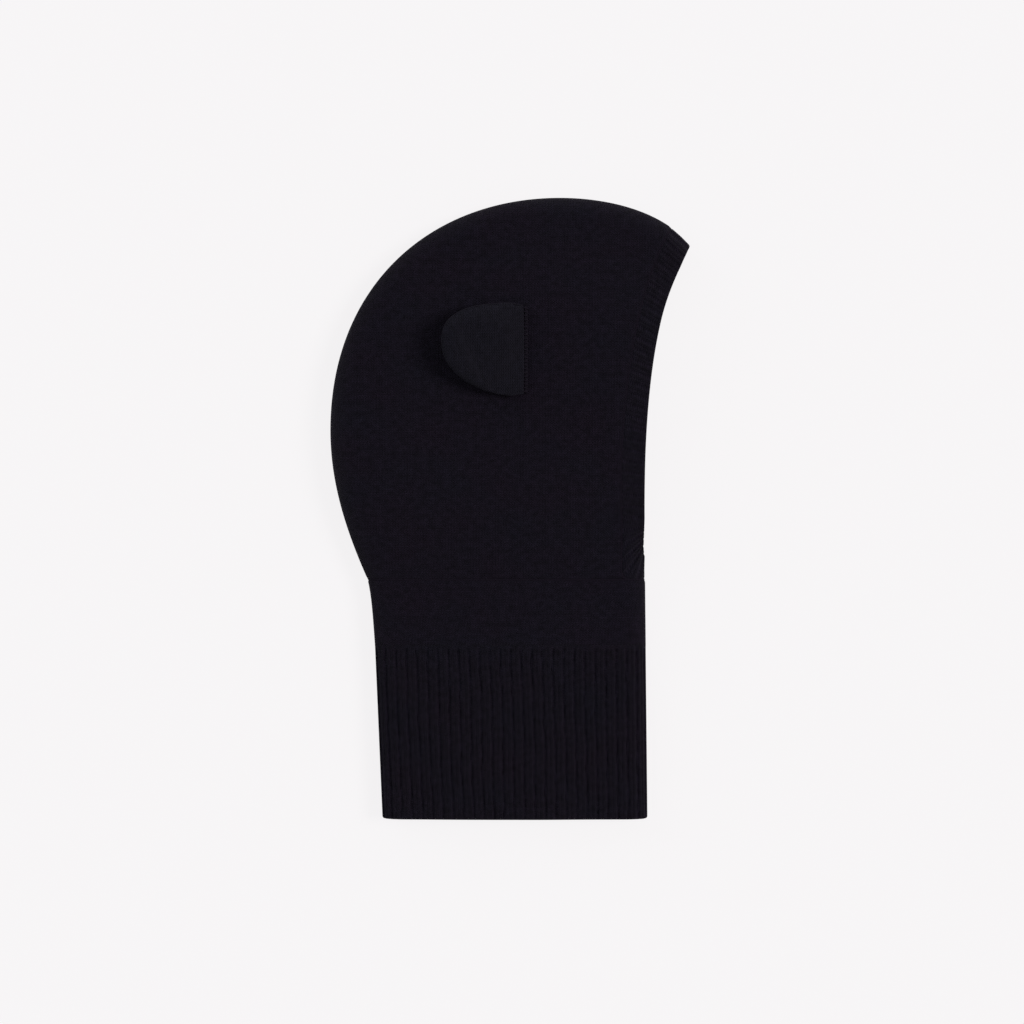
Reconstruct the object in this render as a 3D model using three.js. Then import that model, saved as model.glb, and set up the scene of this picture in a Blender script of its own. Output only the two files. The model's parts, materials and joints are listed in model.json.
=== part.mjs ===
// Knitted balaclava with two padded ears, laid flat on its left side.
//
// Two plain-knit hood panels are linked edge to edge by the crown seam, which runs from the forehead over
// the crown to the nape. A ribbed trim goes round the whole face opening: it folds at the forehead and
// turns round the chin. Below the hood come a plain neck band and a ribbed neck cuff, both tubes.
// Each ear is a padded half disc, sewn to its panel along its straight base and folded back.
//
// Millimetres. +X points out of the face opening, +Y to the crown, +Z up from the surface it lies on.

import * as THREE from "three";

// ---- overall size, lying flat
const height = 380; // crown to hem
const length = 220; // back of the head to the forehead tip
const seamHeight = 8.5; // the folded edges, above the surface it lies on
const hoodHeight = 26.5;
const neckHeight = 19;

// ---- hood outline, from the overall size
const tip = new THREE.Vector2(0.5 * length, 0.4245 * height);
const crown = new THREE.Vector2(0.139 * length, 0.5 * height);
const back = new THREE.Vector2(-0.5 * length, 0.125 * height);
const nape = new THREE.Vector2(-0.3975 * length, -0.1134 * height);
const napeLean = THREE.MathUtils.degToRad(24); // how far the back leans out above the nape
const napeReach = 0.092 * height;
const cuffTopY = -0.22 * height;
const hemY = -0.5 * height;
const cuffTopBackX = -0.376 * length;
const hemBackX = -0.355 * length;
const hemFrontX = 0.3833 * length;

// ---- face opening
const chinY = -0.0763 * height; // where the opening ends, on the front fold
const chinX = 0.376 * length;
const chinRound = 12; // radius with which the opening's edge turns into the front fold
const trimWidth = 14.7;
const trimThickness = 3.2;
const trimRibDepth = 0.9;
const cheekRibs = 27; // on each side, down to the chin
const chinRibs = 5; // on each side, fanned round the chin
const chinTurn = 20; // length of free edge that the chin ribs take
const trimCorner = 5; // radius of the linking line's corner under the chin

// ---- knit
const panelThickness = 2.2;
const neckThickness = 2.4;
const cuffThickness = 3;
const cuffRibDepth = 1.2;
const cuffRibs = 27; // on each side
const edgeRound = 14; // how far the rounding at a fold reaches in
const edgeShare = 0.75; // share of the height gained in that rounding
const crownRise = 70; // the rest is gained over this distance
const underRound = 12; // the same rounding on the underside

// ---- seams, cords of thread in a channel between two edges
const clearance = 0.3;
const seamRadius = 0.8;
const seamDepth = 1.2; // centre of the cord, below the outer face
const halfChannel = seamRadius + 0.4;

// ---- ears
const earBaseX = 0.042 * length;
const earY = 0.254 * height;
const earLength = 52; // base to rim
const earHalfBase = 29.5;
const earCloth = 1.2;
const earBaseGap = 1.5; // hinge axis to the ear's base edge
const axisRise = 2.4; // hinge axis above the panel
const baseSeamRadius = 1.1;
const rimSeamRadius = 0.8;
const rimReach = clearance + 2 * rimSeamRadius;
const rightEar = { tilt: THREE.MathUtils.degToRad(10), outerPuff: 6.2, innerPuff: 2.2 };
const leftEar = { tilt: 0, outerPuff: 1.0, innerPuff: 1.1 }; // pressed flat under the hood
const padRise = 18; // how far from the base seam the pad reaches its full thickness
const waddingInset = 5;
const waddingGap = 0.5;
const leftAxisHeight = 2.6;
const leftRise = 5.9; // how high the left panel is lifted where it lies over its ear
const riseMargin = 12;
const riseFade = 18;

// ---- label
const labelWidth = 22;
const labelThickness = 0.5;
const labelX = hemBackX + edgeRound + 0.5 * labelWidth + 4; // clear of the rounding at the fold

// ---- curves of the outline

const edgeEnd = 60; // how far the folds are drawn on past the open edges, so that those stay unrounded

function backCurve() {
  const atTip = new THREE.Vector2(-0.0683 * length, 0.0502 * height);
  const along = atTip.clone().normalize().multiplyScalar(edgeEnd);
  const path = new THREE.Path().moveTo(tip.x - along.x, tip.y - along.y);
  path.lineTo(tip.x, tip.y);
  path.bezierCurveTo(
    tip.x + atTip.x, tip.y + atTip.y, crown.x + 0.148 * length, crown.y, crown.x, crown.y);
  path.bezierCurveTo(
    crown.x - 0.357 * length, crown.y, back.x, back.y + 0.2356 * height, back.x, back.y);
  path.bezierCurveTo(
    back.x, back.y - 0.079 * height,
    nape.x - napeReach * Math.sin(napeLean), nape.y + napeReach * Math.cos(napeLean), nape.x, nape.y);
  path.lineTo(cuffTopBackX, cuffTopY);
  path.lineTo(hemBackX, hemY);
  path.lineTo(2 * hemBackX - cuffTopBackX, 2 * hemY - cuffTopY);
  return path;
}

function frontCurve() {
  const path = new THREE.Path().moveTo(hemFrontX, hemY - edgeEnd);
  path.lineTo(hemFrontX, hemY);
  path.lineTo(chinX, chinY);
  path.absarc(chinX + chinRound, chinY, chinRound, Math.PI, 0.5 * Math.PI, true);
  path.lineTo(chinX + chinRound + edgeEnd, chinY + chinRound);
  return path;
}

/** Where the front fold lies at a height below the chin. */
const frontFoldX = (y) => chinX + (hemFrontX - chinX) * (chinY - y) / (chinY - hemY);

/** Evenly spaced points with the inward direction at each. */
function polyline(path, spacing) {
  const count = Math.ceil(path.getLength() / spacing);
  const points = Array.from({ length: count + 1 }, (_, i) => path.getPoint(i / count));
  return points.map((point, i) => {
    const before = points[Math.max(i - 1, 0)];
    const after = points[Math.min(i + 1, count)];
    const along = after.clone().sub(before).normalize();
    return { point, inward: new THREE.Vector2(-along.y, along.x) };
  });
}

const backEdge = backCurve();
const foldLines = [polyline(backEdge, 2), polyline(frontCurve(), 2)];

/** Distance from the nearest fold, the inward direction there and the nearest point. */
function fromFold(x, y) {
  const here = new THREE.Vector2(x, y);
  let best = { distance: Infinity };
  for (const line of foldLines) {
    for (let i = 0; i + 1 < line.length; i += 1) {
      const a = line[i];
      const b = line[i + 1];
      const along = b.point.clone().sub(a.point);
      const share = THREE.MathUtils.clamp(
        here.clone().sub(a.point).dot(along) / along.lengthSq(), 0, 1);
      const foot = a.point.clone().addScaledVector(along, share);
      const distance = foot.distanceTo(here);
      if (distance < best.distance) {
        best = { distance, foot, inward: a.inward.clone().lerp(b.inward, share).normalize() };
      }
    }
  }
  return best;
}

// ---- the knit's outer face, on the upper side (+1) and the under side (-1)

const quarter = (x) => (x < 1 ? Math.sqrt(1 - (1 - x) ** 2) : 1);
const quarterSlope = (x) => (x < 1 ? (1 - x) / Math.sqrt(1 - (1 - x) ** 2) : 0);
const steepest = 1e-4; // keeps the slope finite on the fold itself

function upperHeight(y) {
  const share = THREE.MathUtils.smoothstep(y, nape.y - 0.04 * height, nape.y + 0.17 * height);
  return neckHeight + (hoodHeight - neckHeight) * share;
}

function overLeftEar(x, y) {
  const alongX = x < earBaseX ? earLength + riseMargin : riseMargin;
  const reach = Math.hypot((x - earBaseX) / alongX, (y - earY) / (earHalfBase + riseMargin));
  const radius = Math.hypot(x - earBaseX, y - earY);
  const outside = reach > 1 ? radius * (1 - 1 / reach) : 0;
  return leftRise * (1 - THREE.MathUtils.smoothstep(outside, 0, riseFade));
}

/** A point in the knit: plan position, side, depth below the outer face, and half the gap at the fold. */
function inKnit(x, y, side, depth, split = 0) {
  const { distance, inward } = fromFold(x, y);
  const fold = seamHeight + side * split;
  const reach = side > 0 ? edgeRound : underRound;
  const d = Math.max(distance / reach, steepest);
  let z = 0;
  let slope = 0;
  if (side > 0) {
    const gain = upperHeight(y) - fold;
    const far = Math.min(distance / crownRise, 1);
    z = fold + gain * (edgeShare * quarter(d) + (1 - edgeShare) * far * far * (3 - 2 * far));
    slope = gain * (edgeShare * quarterSlope(d) / reach + (1 - edgeShare) * 6 * far * (1 - far) / crownRise);
  } else {
    z = fold * (1 - quarter(d)) + overLeftEar(x, y);
    slope = fold * quarterSlope(d) / reach;
  }
  const normal = new THREE.Vector3(-slope * inward.x, -slope * inward.y, side).normalize();
  return new THREE.Vector3(x, y, z).addScaledVector(normal, -depth);
}

// ---- solids from points

/** A closed solid from four-sided and three-sided faces, facing out. */
function solid(faces) {
  const found = new Map();
  const positions = [];
  const index = [];
  const number = (point) => {
    const key = point.toArray().map((value) => Math.round(value * 1e4)).join();
    if (!found.has(key)) {
      found.set(key, found.size);
      positions.push(point.x, point.y, point.z);
    }
    return found.get(key);
  };
  for (const face of faces) {
    const [a, ...rest] = face.map(number);
    for (let i = 0; i + 1 < rest.length; i += 1) {
      const triangle = [a, rest[i], rest[i + 1]];
      if (new Set(triangle).size === 3) index.push(...triangle);
    }
  }
  const corner = (i) => new THREE.Vector3().fromArray(positions, 3 * i);
  let volume = 0;
  for (let i = 0; i < index.length; i += 3) {
    volume += corner(index[i]).dot(corner(index[i + 1]).cross(corner(index[i + 2])));
  }
  if (volume < 0) index.reverse();
  const geometry = new THREE.BufferGeometry();
  geometry.setAttribute("position", new THREE.Float32BufferAttribute(positions, 3));
  geometry.setIndex(index);
  geometry.computeVertexNormals();
  return geometry;
}

/** A section carried along: each column holds the section's corners in order. */
function sweep(columns, closed) {
  const faces = [];
  const last = closed ? columns.length : columns.length - 1;
  for (let i = 0; i < last; i += 1) {
    const a = columns[i];
    const b = columns[(i + 1) % columns.length];
    a.forEach((point, k) => {
      const next = (k + 1) % a.length;
      faces.push([point, a[next], b[next], b[k]]);
    });
  }
  if (!closed) faces.push([...columns[0]].reverse(), columns[columns.length - 1]);
  return solid(faces);
}

/** A sheet between two grids of points with the same rows and columns. */
function sheet(outer, inner) {
  const faces = [];
  const rows = outer.length - 1;
  const columns = outer[0].length - 1;
  for (let i = 0; i < rows; i += 1) {
    for (let j = 0; j < columns; j += 1) {
      faces.push([outer[i][j], outer[i][j + 1], outer[i + 1][j + 1], outer[i + 1][j]]);
      faces.push([inner[i][j], inner[i + 1][j], inner[i + 1][j + 1], inner[i][j + 1]]);
    }
    faces.push([outer[i][0], outer[i + 1][0], inner[i + 1][0], inner[i][0]]);
    faces.push([outer[i][columns], inner[i][columns], inner[i + 1][columns], outer[i + 1][columns]]);
  }
  for (let j = 0; j < columns; j += 1) {
    faces.push([outer[0][j], inner[0][j], inner[0][j + 1], outer[0][j + 1]]);
    faces.push([outer[rows][j], outer[rows][j + 1], inner[rows][j + 1], inner[rows][j]]);
  }
  return solid(faces);
}

/** Steps round a flattened ring: along the upper side, then back along the under side. */
function ringSteps(steps) {
  const upper = steps.map((step) => ({ ...step, side: 1 }));
  const under = steps.slice(1, -1).reverse().map((step) => ({ ...step, side: -1 }));
  return [...upper, ...under];
}

/** Steps across a number of ribs, each with a flat top and a flat furrow, half a rib at either end. */
function ribSteps(ribs) {
  const steps = [{ share: 0, furrow: false }];
  for (let i = 0; i < ribs; i += 1) {
    steps.push({ share: (i + 0.2) / ribs, furrow: false }, { share: (i + 0.3) / ribs, furrow: true });
    steps.push({ share: (i + 0.7) / ribs, furrow: true }, { share: (i + 0.8) / ribs, furrow: false });
  }
  return [...steps, { share: 1, furrow: false }];
}

/** A share that changes slowly towards both ends. */
const eased = (share) => 0.5 * (1 - Math.cos(Math.PI * share));

/** Steps that lie closer together towards both ends. */
function easedSteps(count) {
  return Array.from({ length: count + 1 }, (_, i) => ({ share: eased(i / count) }));
}

// ---- face opening: the free edge, the linking line and places between them

const faceEdge = new THREE.CubicBezierCurve(
  tip,
  new THREE.Vector2(tip.x - 0.1236 * length, tip.y - 0.1222 * height),
  new THREE.Vector2(chinX - 0.0118 * length, chinY + 0.18 * height),
  new THREE.Vector2(chinX, chinY),
);

const linkX = chinX - trimWidth;
const linkEndY = chinY - trimWidth;
const linkTop = backEdge.getPoint((edgeEnd + 1.05 * trimWidth) / backEdge.getLength());

function linkCurve() {
  const path = new THREE.Path().moveTo(linkTop.x, linkTop.y);
  path.bezierCurveTo(
    linkTop.x - 0.1236 * length, linkTop.y - 0.1222 * height,
    linkX - 0.0118 * length, chinY + 0.19 * height,
    linkX, chinY + chinTurn);
  return path;
}

function linkTurn() {
  const path = new THREE.Path().moveTo(linkX, chinY + chinTurn);
  path.lineTo(linkX, linkEndY + trimCorner);
  path.absarc(linkX + trimCorner, linkEndY + trimCorner, trimCorner, Math.PI, 1.5 * Math.PI, false);
  path.lineTo(frontFoldX(linkEndY), linkEndY);
  return path;
}

const cheekLink = linkCurve();
const chinLink = linkTurn();
const cheekShare = cheekRibs / (cheekRibs + chinRibs);
const freeShare = 1 - chinTurn / faceEdge.getLength();

/** The trim's free edge and its linking line, at a share of the way from forehead to chin. */
function trimEdges(share) {
  const inCheek = share < cheekShare;
  const part = inCheek ? share / cheekShare : (share - cheekShare) / (1 - cheekShare);
  return {
    free: faceEdge.getPointAt(inCheek ? part * freeShare : freeShare + part * (1 - freeShare)),
    link: (inCheek ? cheekLink : chinLink).getPoint(part),
  };
}

/** Plan position on the trim: share of the way from forehead to chin, and distance past the linking line. */
function onTrim(share, past) {
  const { free, link } = trimEdges(share);
  const across = link.clone().sub(free);
  const place = free.clone().addScaledVector(across, 1 + past / across.length());
  const onFold = share === 0 || share === 1;
  return onFold ? fromFold(place.x, place.y).foot : place;
}

function faceTrim() {
  const edgeWidth = 1.2; // rounding of the free edge
  const columns = ringSteps(ribSteps(cheekRibs + chinRibs)).map(({ share, furrow, side }) => {
    const top = furrow ? trimRibDepth : 0;
    const { free, link } = trimEdges(share);
    const width = free.distanceTo(link);
    const section = [
      [-width, 0.5 * trimThickness],
      [edgeWidth - width, top],
      [-halfChannel, top],
      [-halfChannel, trimThickness],
      [0.6 * edgeWidth - width, trimThickness],
    ];
    return section.map(([past, depth]) => {
      const place = onTrim(share, past);
      return inKnit(place.x, place.y, side, depth);
    });
  });
  return sweep(columns, true);
}

const cordCorners = 6;

/** The corners of a cord's section: offset to the side and depth below the outer face. */
function cordSection() {
  return Array.from({ length: cordCorners }, (_, k) => {
    const angle = 2 * Math.PI * k / cordCorners;
    return [seamRadius * Math.cos(angle), seamDepth + seamRadius * Math.sin(angle)];
  });
}

function trimSeam() {
  const cheek = easedSteps(30).map(({ share }) => ({ share: share * cheekShare }));
  const chin = Array.from({ length: 14 }, (_, i) => ({ share: cheekShare + (1 - cheekShare) * (i + 1) / 14 }));
  const columns = ringSteps([...cheek, ...chin]).map(({ share, side }) =>
    cordSection().map(([past, depth]) => {
      const place = onTrim(share, past);
      return inKnit(place.x, place.y, side, depth);
    }));
  return sweep(columns, true);
}

// ---- hood

const panelEndY = linkEndY + halfChannel;
const neckTopY = linkEndY - halfChannel;

/** Share of the back edge's length at which it comes down to a height. */
function backShare(y) {
  let low = 0.5;
  let high = 1;
  for (let i = 0; i < 40; i += 1) {
    const middle = 0.5 * (low + high);
    if (backEdge.getPoint(middle).y > y) low = middle;
    else high = middle;
  }
  return low;
}

const panelCorner = onTrim(0, halfChannel);
const crownStart = (() => {
  const total = backEdge.getLength();
  let share = edgeEnd / total;
  while (backEdge.getPoint(share).x > panelCorner.x) share += 0.1 / total;
  return share;
})();
const crownEnd = backShare(panelEndY);

/** The panel's front edge, from the forehead corner to where it comes down to its lower edge. */
function panelFront() {
  const points = [];
  const steps = 400;
  for (let i = 0; i <= steps; i += 1) {
    const place = onTrim(i / steps, halfChannel);
    if (place.y < panelEndY) {
      const before = points[points.length - 1];
      points.push(new THREE.Vector2(before.x, panelEndY));
      break;
    }
    points.push(place);
  }
  const path = new THREE.CurvePath();
  for (let i = 0; i + 1 < points.length; i += 1) {
    path.add(new THREE.LineCurve(points[i], points[i + 1]));
  }
  return path;
}

function hoodPanel(side, rows, roundColumns, flatColumns) {
  const front = panelFront();
  const outer = [];
  const inner = [];
  for (let i = 0; i <= rows; i += 1) {
    const share = i / rows;
    const from = i === 0 ? panelCorner : backEdge.getPoint(crownStart + (crownEnd - crownStart) * share);
    const to = i === 0 ? panelCorner : front.getPoint(eased(share));
    const near = Math.min(1.15 * edgeRound / Math.max(from.distanceTo(to), 1), 0.5);
    const shares = [];
    for (let j = 0; j <= roundColumns; j += 1) {
      shares.push(near * (1 - Math.cos(0.5 * Math.PI * j / roundColumns)));
    }
    for (let j = 1; j <= flatColumns; j += 1) shares.push(near + (1 - near) * j / flatColumns);
    const places = shares.map((part) => from.clone().lerp(to, part));
    outer.push(places.map(({ x, y }) => inKnit(x, y, side, 0, halfChannel)));
    inner.push(places.map(({ x, y }) => inKnit(x, y, side, panelThickness, halfChannel)));
  }
  return sheet(outer, inner);
}

function crownSeam() {
  const steps = 64;
  const columns = [];
  for (let i = 0; i <= steps; i += 1) {
    const place = backEdge.getPoint(crownStart + (crownEnd - crownStart) * i / steps);
    const { inward } = fromFold(place.x, place.y);
    columns.push(cordSection().map(([up, depth]) =>
      new THREE.Vector3(place.x + depth * inward.x, place.y + depth * inward.y, seamHeight + up)));
  }
  return sweep(columns, false);
}

// ---- neck tubes

/** Plan position across the neck at a height, as a share of the length round one side. */
function acrossNeck(y, side) {
  const steps = 300;
  const backX = backEdge.getPoint(backShare(y)).x;
  const frontX = frontFoldX(y);
  const places = [];
  let walked = 0;
  let before = null;
  for (let i = 0; i <= steps; i += 1) {
    const x = backX + (frontX - backX) * eased(i / steps);
    const point = inKnit(x, y, side, 0);
    if (before) walked += point.distanceTo(before);
    before = point;
    places.push({ x, walked });
  }
  return (share) => {
    const target = share * walked;
    const i = Math.max(places.findIndex((place) => place.walked >= target), 1);
    const [a, b] = [places[i - 1], places[i]];
    return a.x + (b.x - a.x) * THREE.MathUtils.clamp((target - a.walked) / (b.walked - a.walked), 0, 1);
  };
}

/** A tube round the neck from section corners [height, depth on a rib, depth in a furrow]. */
function neckTube(steps, section) {
  const across = new Map();
  for (const [y] of section) {
    across.set(y, { 1: acrossNeck(y, 1), "-1": acrossNeck(y, -1) });
  }
  const columns = ringSteps(steps).map(({ share, furrow, side }) =>
    section.map(([y, onRib, inFurrow]) =>
      inKnit(across.get(y)[side](share), y, side, furrow ? inFurrow : onRib)));
  return sweep(columns, true);
}

function neckBand() {
  const end = cuffTopY + 0.5 * clearance;
  const middle = 0.5 * (neckTopY + end);
  const section = [[neckTopY, 0], [middle, 0], [end, 0], [end, 1], [middle, 1], [neckTopY, 1]];
  return neckTube(easedSteps(22), section.map(([y, layer]) => [y, layer * neckThickness]));
}

function neckCuff() {
  const start = cuffTopY - 0.5 * clearance;
  const hemRound = 1.4;
  const half = 0.5 * cuffThickness;
  return neckTube(ribSteps(cuffRibs), [
    [start, 0, cuffRibDepth],
    [hemY + hemRound, 0, cuffRibDepth],
    [hemY, half, half],
    [hemY + 0.6 * hemRound, cuffThickness, cuffThickness],
    [start, cuffThickness, cuffThickness],
  ]);
}

function neckSeam() {
  const frontX = linkX + 0.5;
  const steps = 26;
  const columns = [];
  const centreBack = backEdge.getPoint(backShare(linkEndY)).x;
  for (let i = -steps; i <= steps; i += 1) {
    const x = centreBack + (frontX - centreBack) * (1 - Math.cos(0.5 * Math.PI * i / steps));
    const side = i < 0 ? 1 : -1;
    columns.push(cordSection().map(([offset, depth]) => {
      const y = linkEndY + offset;
      return i === 0
        ? inKnit(backEdge.getPoint(backShare(y)).x, y, side, depth)
        : inKnit(x, y, side, depth);
    }));
  }
  return sweep(columns, false);
}

// ---- ears

/** Where a place in the ear lies: distance from the hinge axis, along the base, and across the pad. */
function earPlace(ear, away, along, across) {
  const { x, y, z } = ear.axis;
  const reach = away * Math.cos(ear.tilt) - across * Math.sin(ear.tilt);
  const rise = away * Math.sin(ear.tilt) + across * Math.cos(ear.tilt);
  return new THREE.Vector3(x - reach, y + along, z + ear.side * rise);
}

const padReach = earLength - rimReach - earBaseGap;
const padHalfBase = earHalfBase - rimReach;

/** Height of the wadding's room on one side of the pad's middle. */
function padLevel(puff, away, along) {
  const share = Math.min(Math.hypot((away - earBaseGap) / padReach, along / padHalfBase), 1);
  const fromBase = THREE.MathUtils.clamp((away - earBaseGap) / padRise, 0, 1);
  return 0.5 * clearance + puff * (1 - share ** 3) * Math.sin(0.5 * Math.PI * fromBase);
}

/** Half-disc rows from the middle of the base edge out to the rim. */
function earGrid(ear, inset, rings, levelAt) {
  const reach = padReach - inset;
  const halfBase = padHalfBase - inset;
  const around = 16;
  const rows = [];
  for (let i = 0; i <= rings; i += 1) {
    const share = i / rings;
    const row = [];
    for (let j = 0; j <= around; j += 1) {
      const angle = Math.PI * j / around;
      const away = earBaseGap + 0.6 * inset + share * reach * Math.sin(angle);
      const along = share * halfBase * Math.cos(angle);
      row.push(earPlace(ear, away, along, levelAt(away, along)));
    }
    rows.push(row);
  }
  return rows;
}

function earFace(ear, face) {
  const puff = face > 0 ? ear.outerPuff : ear.innerPuff;
  const layer = (cover) => (away, along) => face * (padLevel(puff, away, along) + cover);
  return sheet(earGrid(ear, 0, 6, layer(earCloth)), earGrid(ear, 0, 6, layer(0)));
}

function earWadding(ear) {
  const layer = (face, puff) => (away, along) =>
    face * Math.max(padLevel(puff, away, along) - waddingGap, 0.1);
  return sheet(
    earGrid(ear, waddingInset, 5, layer(1, ear.outerPuff)),
    earGrid(ear, waddingInset, 5, layer(-1, ear.innerPuff)),
  );
}

function rimSeam(ear) {
  const steps = 26;
  const margin = 0.06; // keeps the cord's ends off the base seam
  const reach = padReach + clearance + rimSeamRadius;
  const halfBase = padHalfBase + clearance + rimSeamRadius;
  const columns = [];
  for (let i = 0; i <= steps; i += 1) {
    const angle = margin + (Math.PI - 2 * margin) * i / steps;
    const slope = new THREE.Vector2(Math.sin(angle) / reach, Math.cos(angle) / halfBase).normalize();
    columns.push(Array.from({ length: cordCorners }, (_, k) => {
      const turn = 2 * Math.PI * k / cordCorners;
      const out = rimSeamRadius * Math.cos(turn);
      return earPlace(
        ear,
        earBaseGap + reach * Math.sin(angle) + out * slope.x,
        halfBase * Math.cos(angle) + out * slope.y,
        rimSeamRadius * Math.sin(turn),
      );
    }));
  }
  return sweep(columns, false);
}

/** The ridge in which the ear's base edge is sewn to the panel: round at the hinge axis. */
function baseSeam(ear) {
  const steps = 8;
  const half = padHalfBase;
  const turns = [0, 0.25, 0.5, 0.75, 1].map((share) => share * Math.PI);
  const columns = [];
  for (let i = 0; i <= steps; i += 1) {
    const y = ear.axis.y - half + 2 * half * i / steps;
    const panelZ = inKnit(ear.axis.x, y, ear.side, 0, halfChannel).z;
    const foot = panelZ + ear.side * clearance;
    const round = turns.map((turn) => new THREE.Vector3(
      ear.axis.x + baseSeamRadius * Math.cos(turn), y,
      ear.axis.z + ear.side * baseSeamRadius * Math.sin(turn)));
    columns.push([
      new THREE.Vector3(ear.axis.x + baseSeamRadius, y, foot),
      ...round,
      new THREE.Vector3(ear.axis.x - baseSeamRadius, y, foot),
    ]);
  }
  return sweep(columns, false);
}

const panelTop = inKnit(earBaseX, earY, 1, 0, halfChannel).z;
rightEar.side = 1;
rightEar.axis = new THREE.Vector3(earBaseX, earY, panelTop + axisRise);
leftEar.side = -1;
leftEar.axis = new THREE.Vector3(earBaseX, earY, leftAxisHeight);

// ---- label, on the inner face of the left side below the neck seam

function plate(centreX, topY, width, drop, floor, thickness) {
  const box = new THREE.BoxGeometry(width, drop, thickness);
  return box.translate(centreX, topY - 0.5 * drop, floor + 0.5 * thickness);
}

const labelFloor = neckThickness + clearance;
const labelTopY = neckTopY - 1;
const labelDrop = 0.6 * (neckTopY - cuffTopY);

// ---- the object

const cloth = { hood: 0x19171d, trim: 0x1c1a21, cuff: 0x1b191f, ear: 0x221f29 };
const thread = 0x100e13;

const pieces = [
  ["hood_right", hoodPanel(1, 24, 6, 7), cloth.hood, 0.95],
  ["hood_left", hoodPanel(-1, 36, 5, 14), cloth.hood, 0.95],
  ["crown_seam", crownSeam(), thread, 0.9],
  ["face_trim", faceTrim(), cloth.trim, 0.95],
  ["trim_seam", trimSeam(), thread, 0.9],
  ["neck_band", neckBand(), cloth.hood, 0.95],
  ["neck_seam", neckSeam(), thread, 0.9],
  ["neck_cuff", neckCuff(), cloth.cuff, 0.95],
  ["care_label", plate(labelX, labelTopY, labelWidth, labelDrop, labelFloor, labelThickness), 0x2c2c30, 0.5],
  ["label_stitch", plate(
    labelX, labelTopY - 1.5, labelWidth - 2, 1.2, labelFloor + labelThickness + clearance, 0.6), thread, 0.9],
];
for (const [name, ear] of [["ear_right", rightEar], ["ear_left", leftEar]]) {
  pieces.push([`${name}_outer`, earFace(ear, 1), cloth.ear, 0.95]);
  pieces.push([`${name}_inner`, earFace(ear, -1), cloth.ear, 0.95]);
  pieces.push([`${name}_wadding`, earWadding(ear), 0xd9d6cf, 1]);
  pieces.push([`${name}_rim_seam`, rimSeam(ear), thread, 0.9]);
  pieces.push([`${name}_base_seam`, baseSeam(ear), thread, 0.9]);
}

const balaclava = new THREE.Group();
balaclava.name = "balaclava";
for (const [name, geometry, colour, roughness] of pieces) {
  const material = new THREE.MeshStandardMaterial({ color: colour, roughness, metalness: 0 });
  const mesh = new THREE.Mesh(geometry, material);
  mesh.name = name;
  balaclava.add(mesh);
}

export default balaclava;
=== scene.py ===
import json
import math

import bmesh
import bpy
import numpy as np
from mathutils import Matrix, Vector
from mathutils.kdtree import KDTree


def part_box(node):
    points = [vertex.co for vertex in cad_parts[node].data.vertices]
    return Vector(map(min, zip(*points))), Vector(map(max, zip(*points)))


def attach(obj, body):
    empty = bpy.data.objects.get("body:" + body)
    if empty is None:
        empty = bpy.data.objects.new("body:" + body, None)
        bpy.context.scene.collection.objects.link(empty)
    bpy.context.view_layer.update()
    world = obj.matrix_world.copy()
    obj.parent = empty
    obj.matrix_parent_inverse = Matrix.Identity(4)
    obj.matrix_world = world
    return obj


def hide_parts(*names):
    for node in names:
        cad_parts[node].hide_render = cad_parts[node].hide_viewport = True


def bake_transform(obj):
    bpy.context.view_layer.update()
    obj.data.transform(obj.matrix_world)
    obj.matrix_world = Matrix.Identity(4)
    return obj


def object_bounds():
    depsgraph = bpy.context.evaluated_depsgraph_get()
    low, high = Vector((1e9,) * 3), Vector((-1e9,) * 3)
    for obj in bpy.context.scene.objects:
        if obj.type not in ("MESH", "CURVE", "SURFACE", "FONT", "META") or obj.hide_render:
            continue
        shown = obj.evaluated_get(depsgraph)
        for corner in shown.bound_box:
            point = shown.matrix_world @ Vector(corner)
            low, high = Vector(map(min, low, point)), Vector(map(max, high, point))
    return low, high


# Knitted balaclava with padded ears, laid flat on its left side. Shapes are worked out in millimetres in the
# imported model's frame: +x out of the face opening, +y to the crown, +z up from the floor.
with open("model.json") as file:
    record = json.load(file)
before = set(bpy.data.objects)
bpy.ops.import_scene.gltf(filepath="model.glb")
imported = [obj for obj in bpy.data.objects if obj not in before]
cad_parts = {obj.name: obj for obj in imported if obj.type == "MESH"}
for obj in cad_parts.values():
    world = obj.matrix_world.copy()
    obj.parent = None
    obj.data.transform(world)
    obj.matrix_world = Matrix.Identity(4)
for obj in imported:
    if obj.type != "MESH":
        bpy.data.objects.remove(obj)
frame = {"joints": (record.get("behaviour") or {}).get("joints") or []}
cadLow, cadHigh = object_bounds()


def inMillimetres(corner):
    return np.array(corner) * 1000


partLow, partHigh = inMillimetres(cadLow), inMillimetres(cadHigh)


# The camera looks straight down.
cameraValues = {
    "lens": 85,  # mm
    "sensor": 36,  # mm
    "foldHeight": 0.0085,  # metres, where the hood's outline lies
    "width": 0.6275,  # metres across the frame, at that height
    "aside": 0.0013,  # metres from the part's own middle
    "along": -0.0024,
}


def putInScene(name, data):
    placed = bpy.data.objects.new(name, data)
    bpy.context.scene.collection.objects.link(placed)
    return placed


cameraData = bpy.data.cameras.new("camera")
cameraData.lens = cameraValues["lens"]
cameraData.sensor_width = cameraValues["sensor"]
camera = putInScene("camera", cameraData)
camera.location = (
    cameraValues["aside"],
    cameraValues["along"],
    cameraValues["foldHeight"] + cameraValues["width"] * cameraValues["lens"] / cameraValues["sensor"],
)
bpy.context.scene.camera = camera


def smoothStep(x, low, high):
    t = np.clip((x - low) / (high - low), 0, 1)
    return t * t * (3 - 2 * t)


def quarter(x):  # height of a quarter circle
    x = np.clip(x, 0, 1)
    return np.sqrt(1 - (1 - x) ** 2)


def quarterSlope(x):
    x = np.clip(x, 1e-4, 1)
    return (1 - x) / np.sqrt(1 - (1 - x) ** 2)


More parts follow.
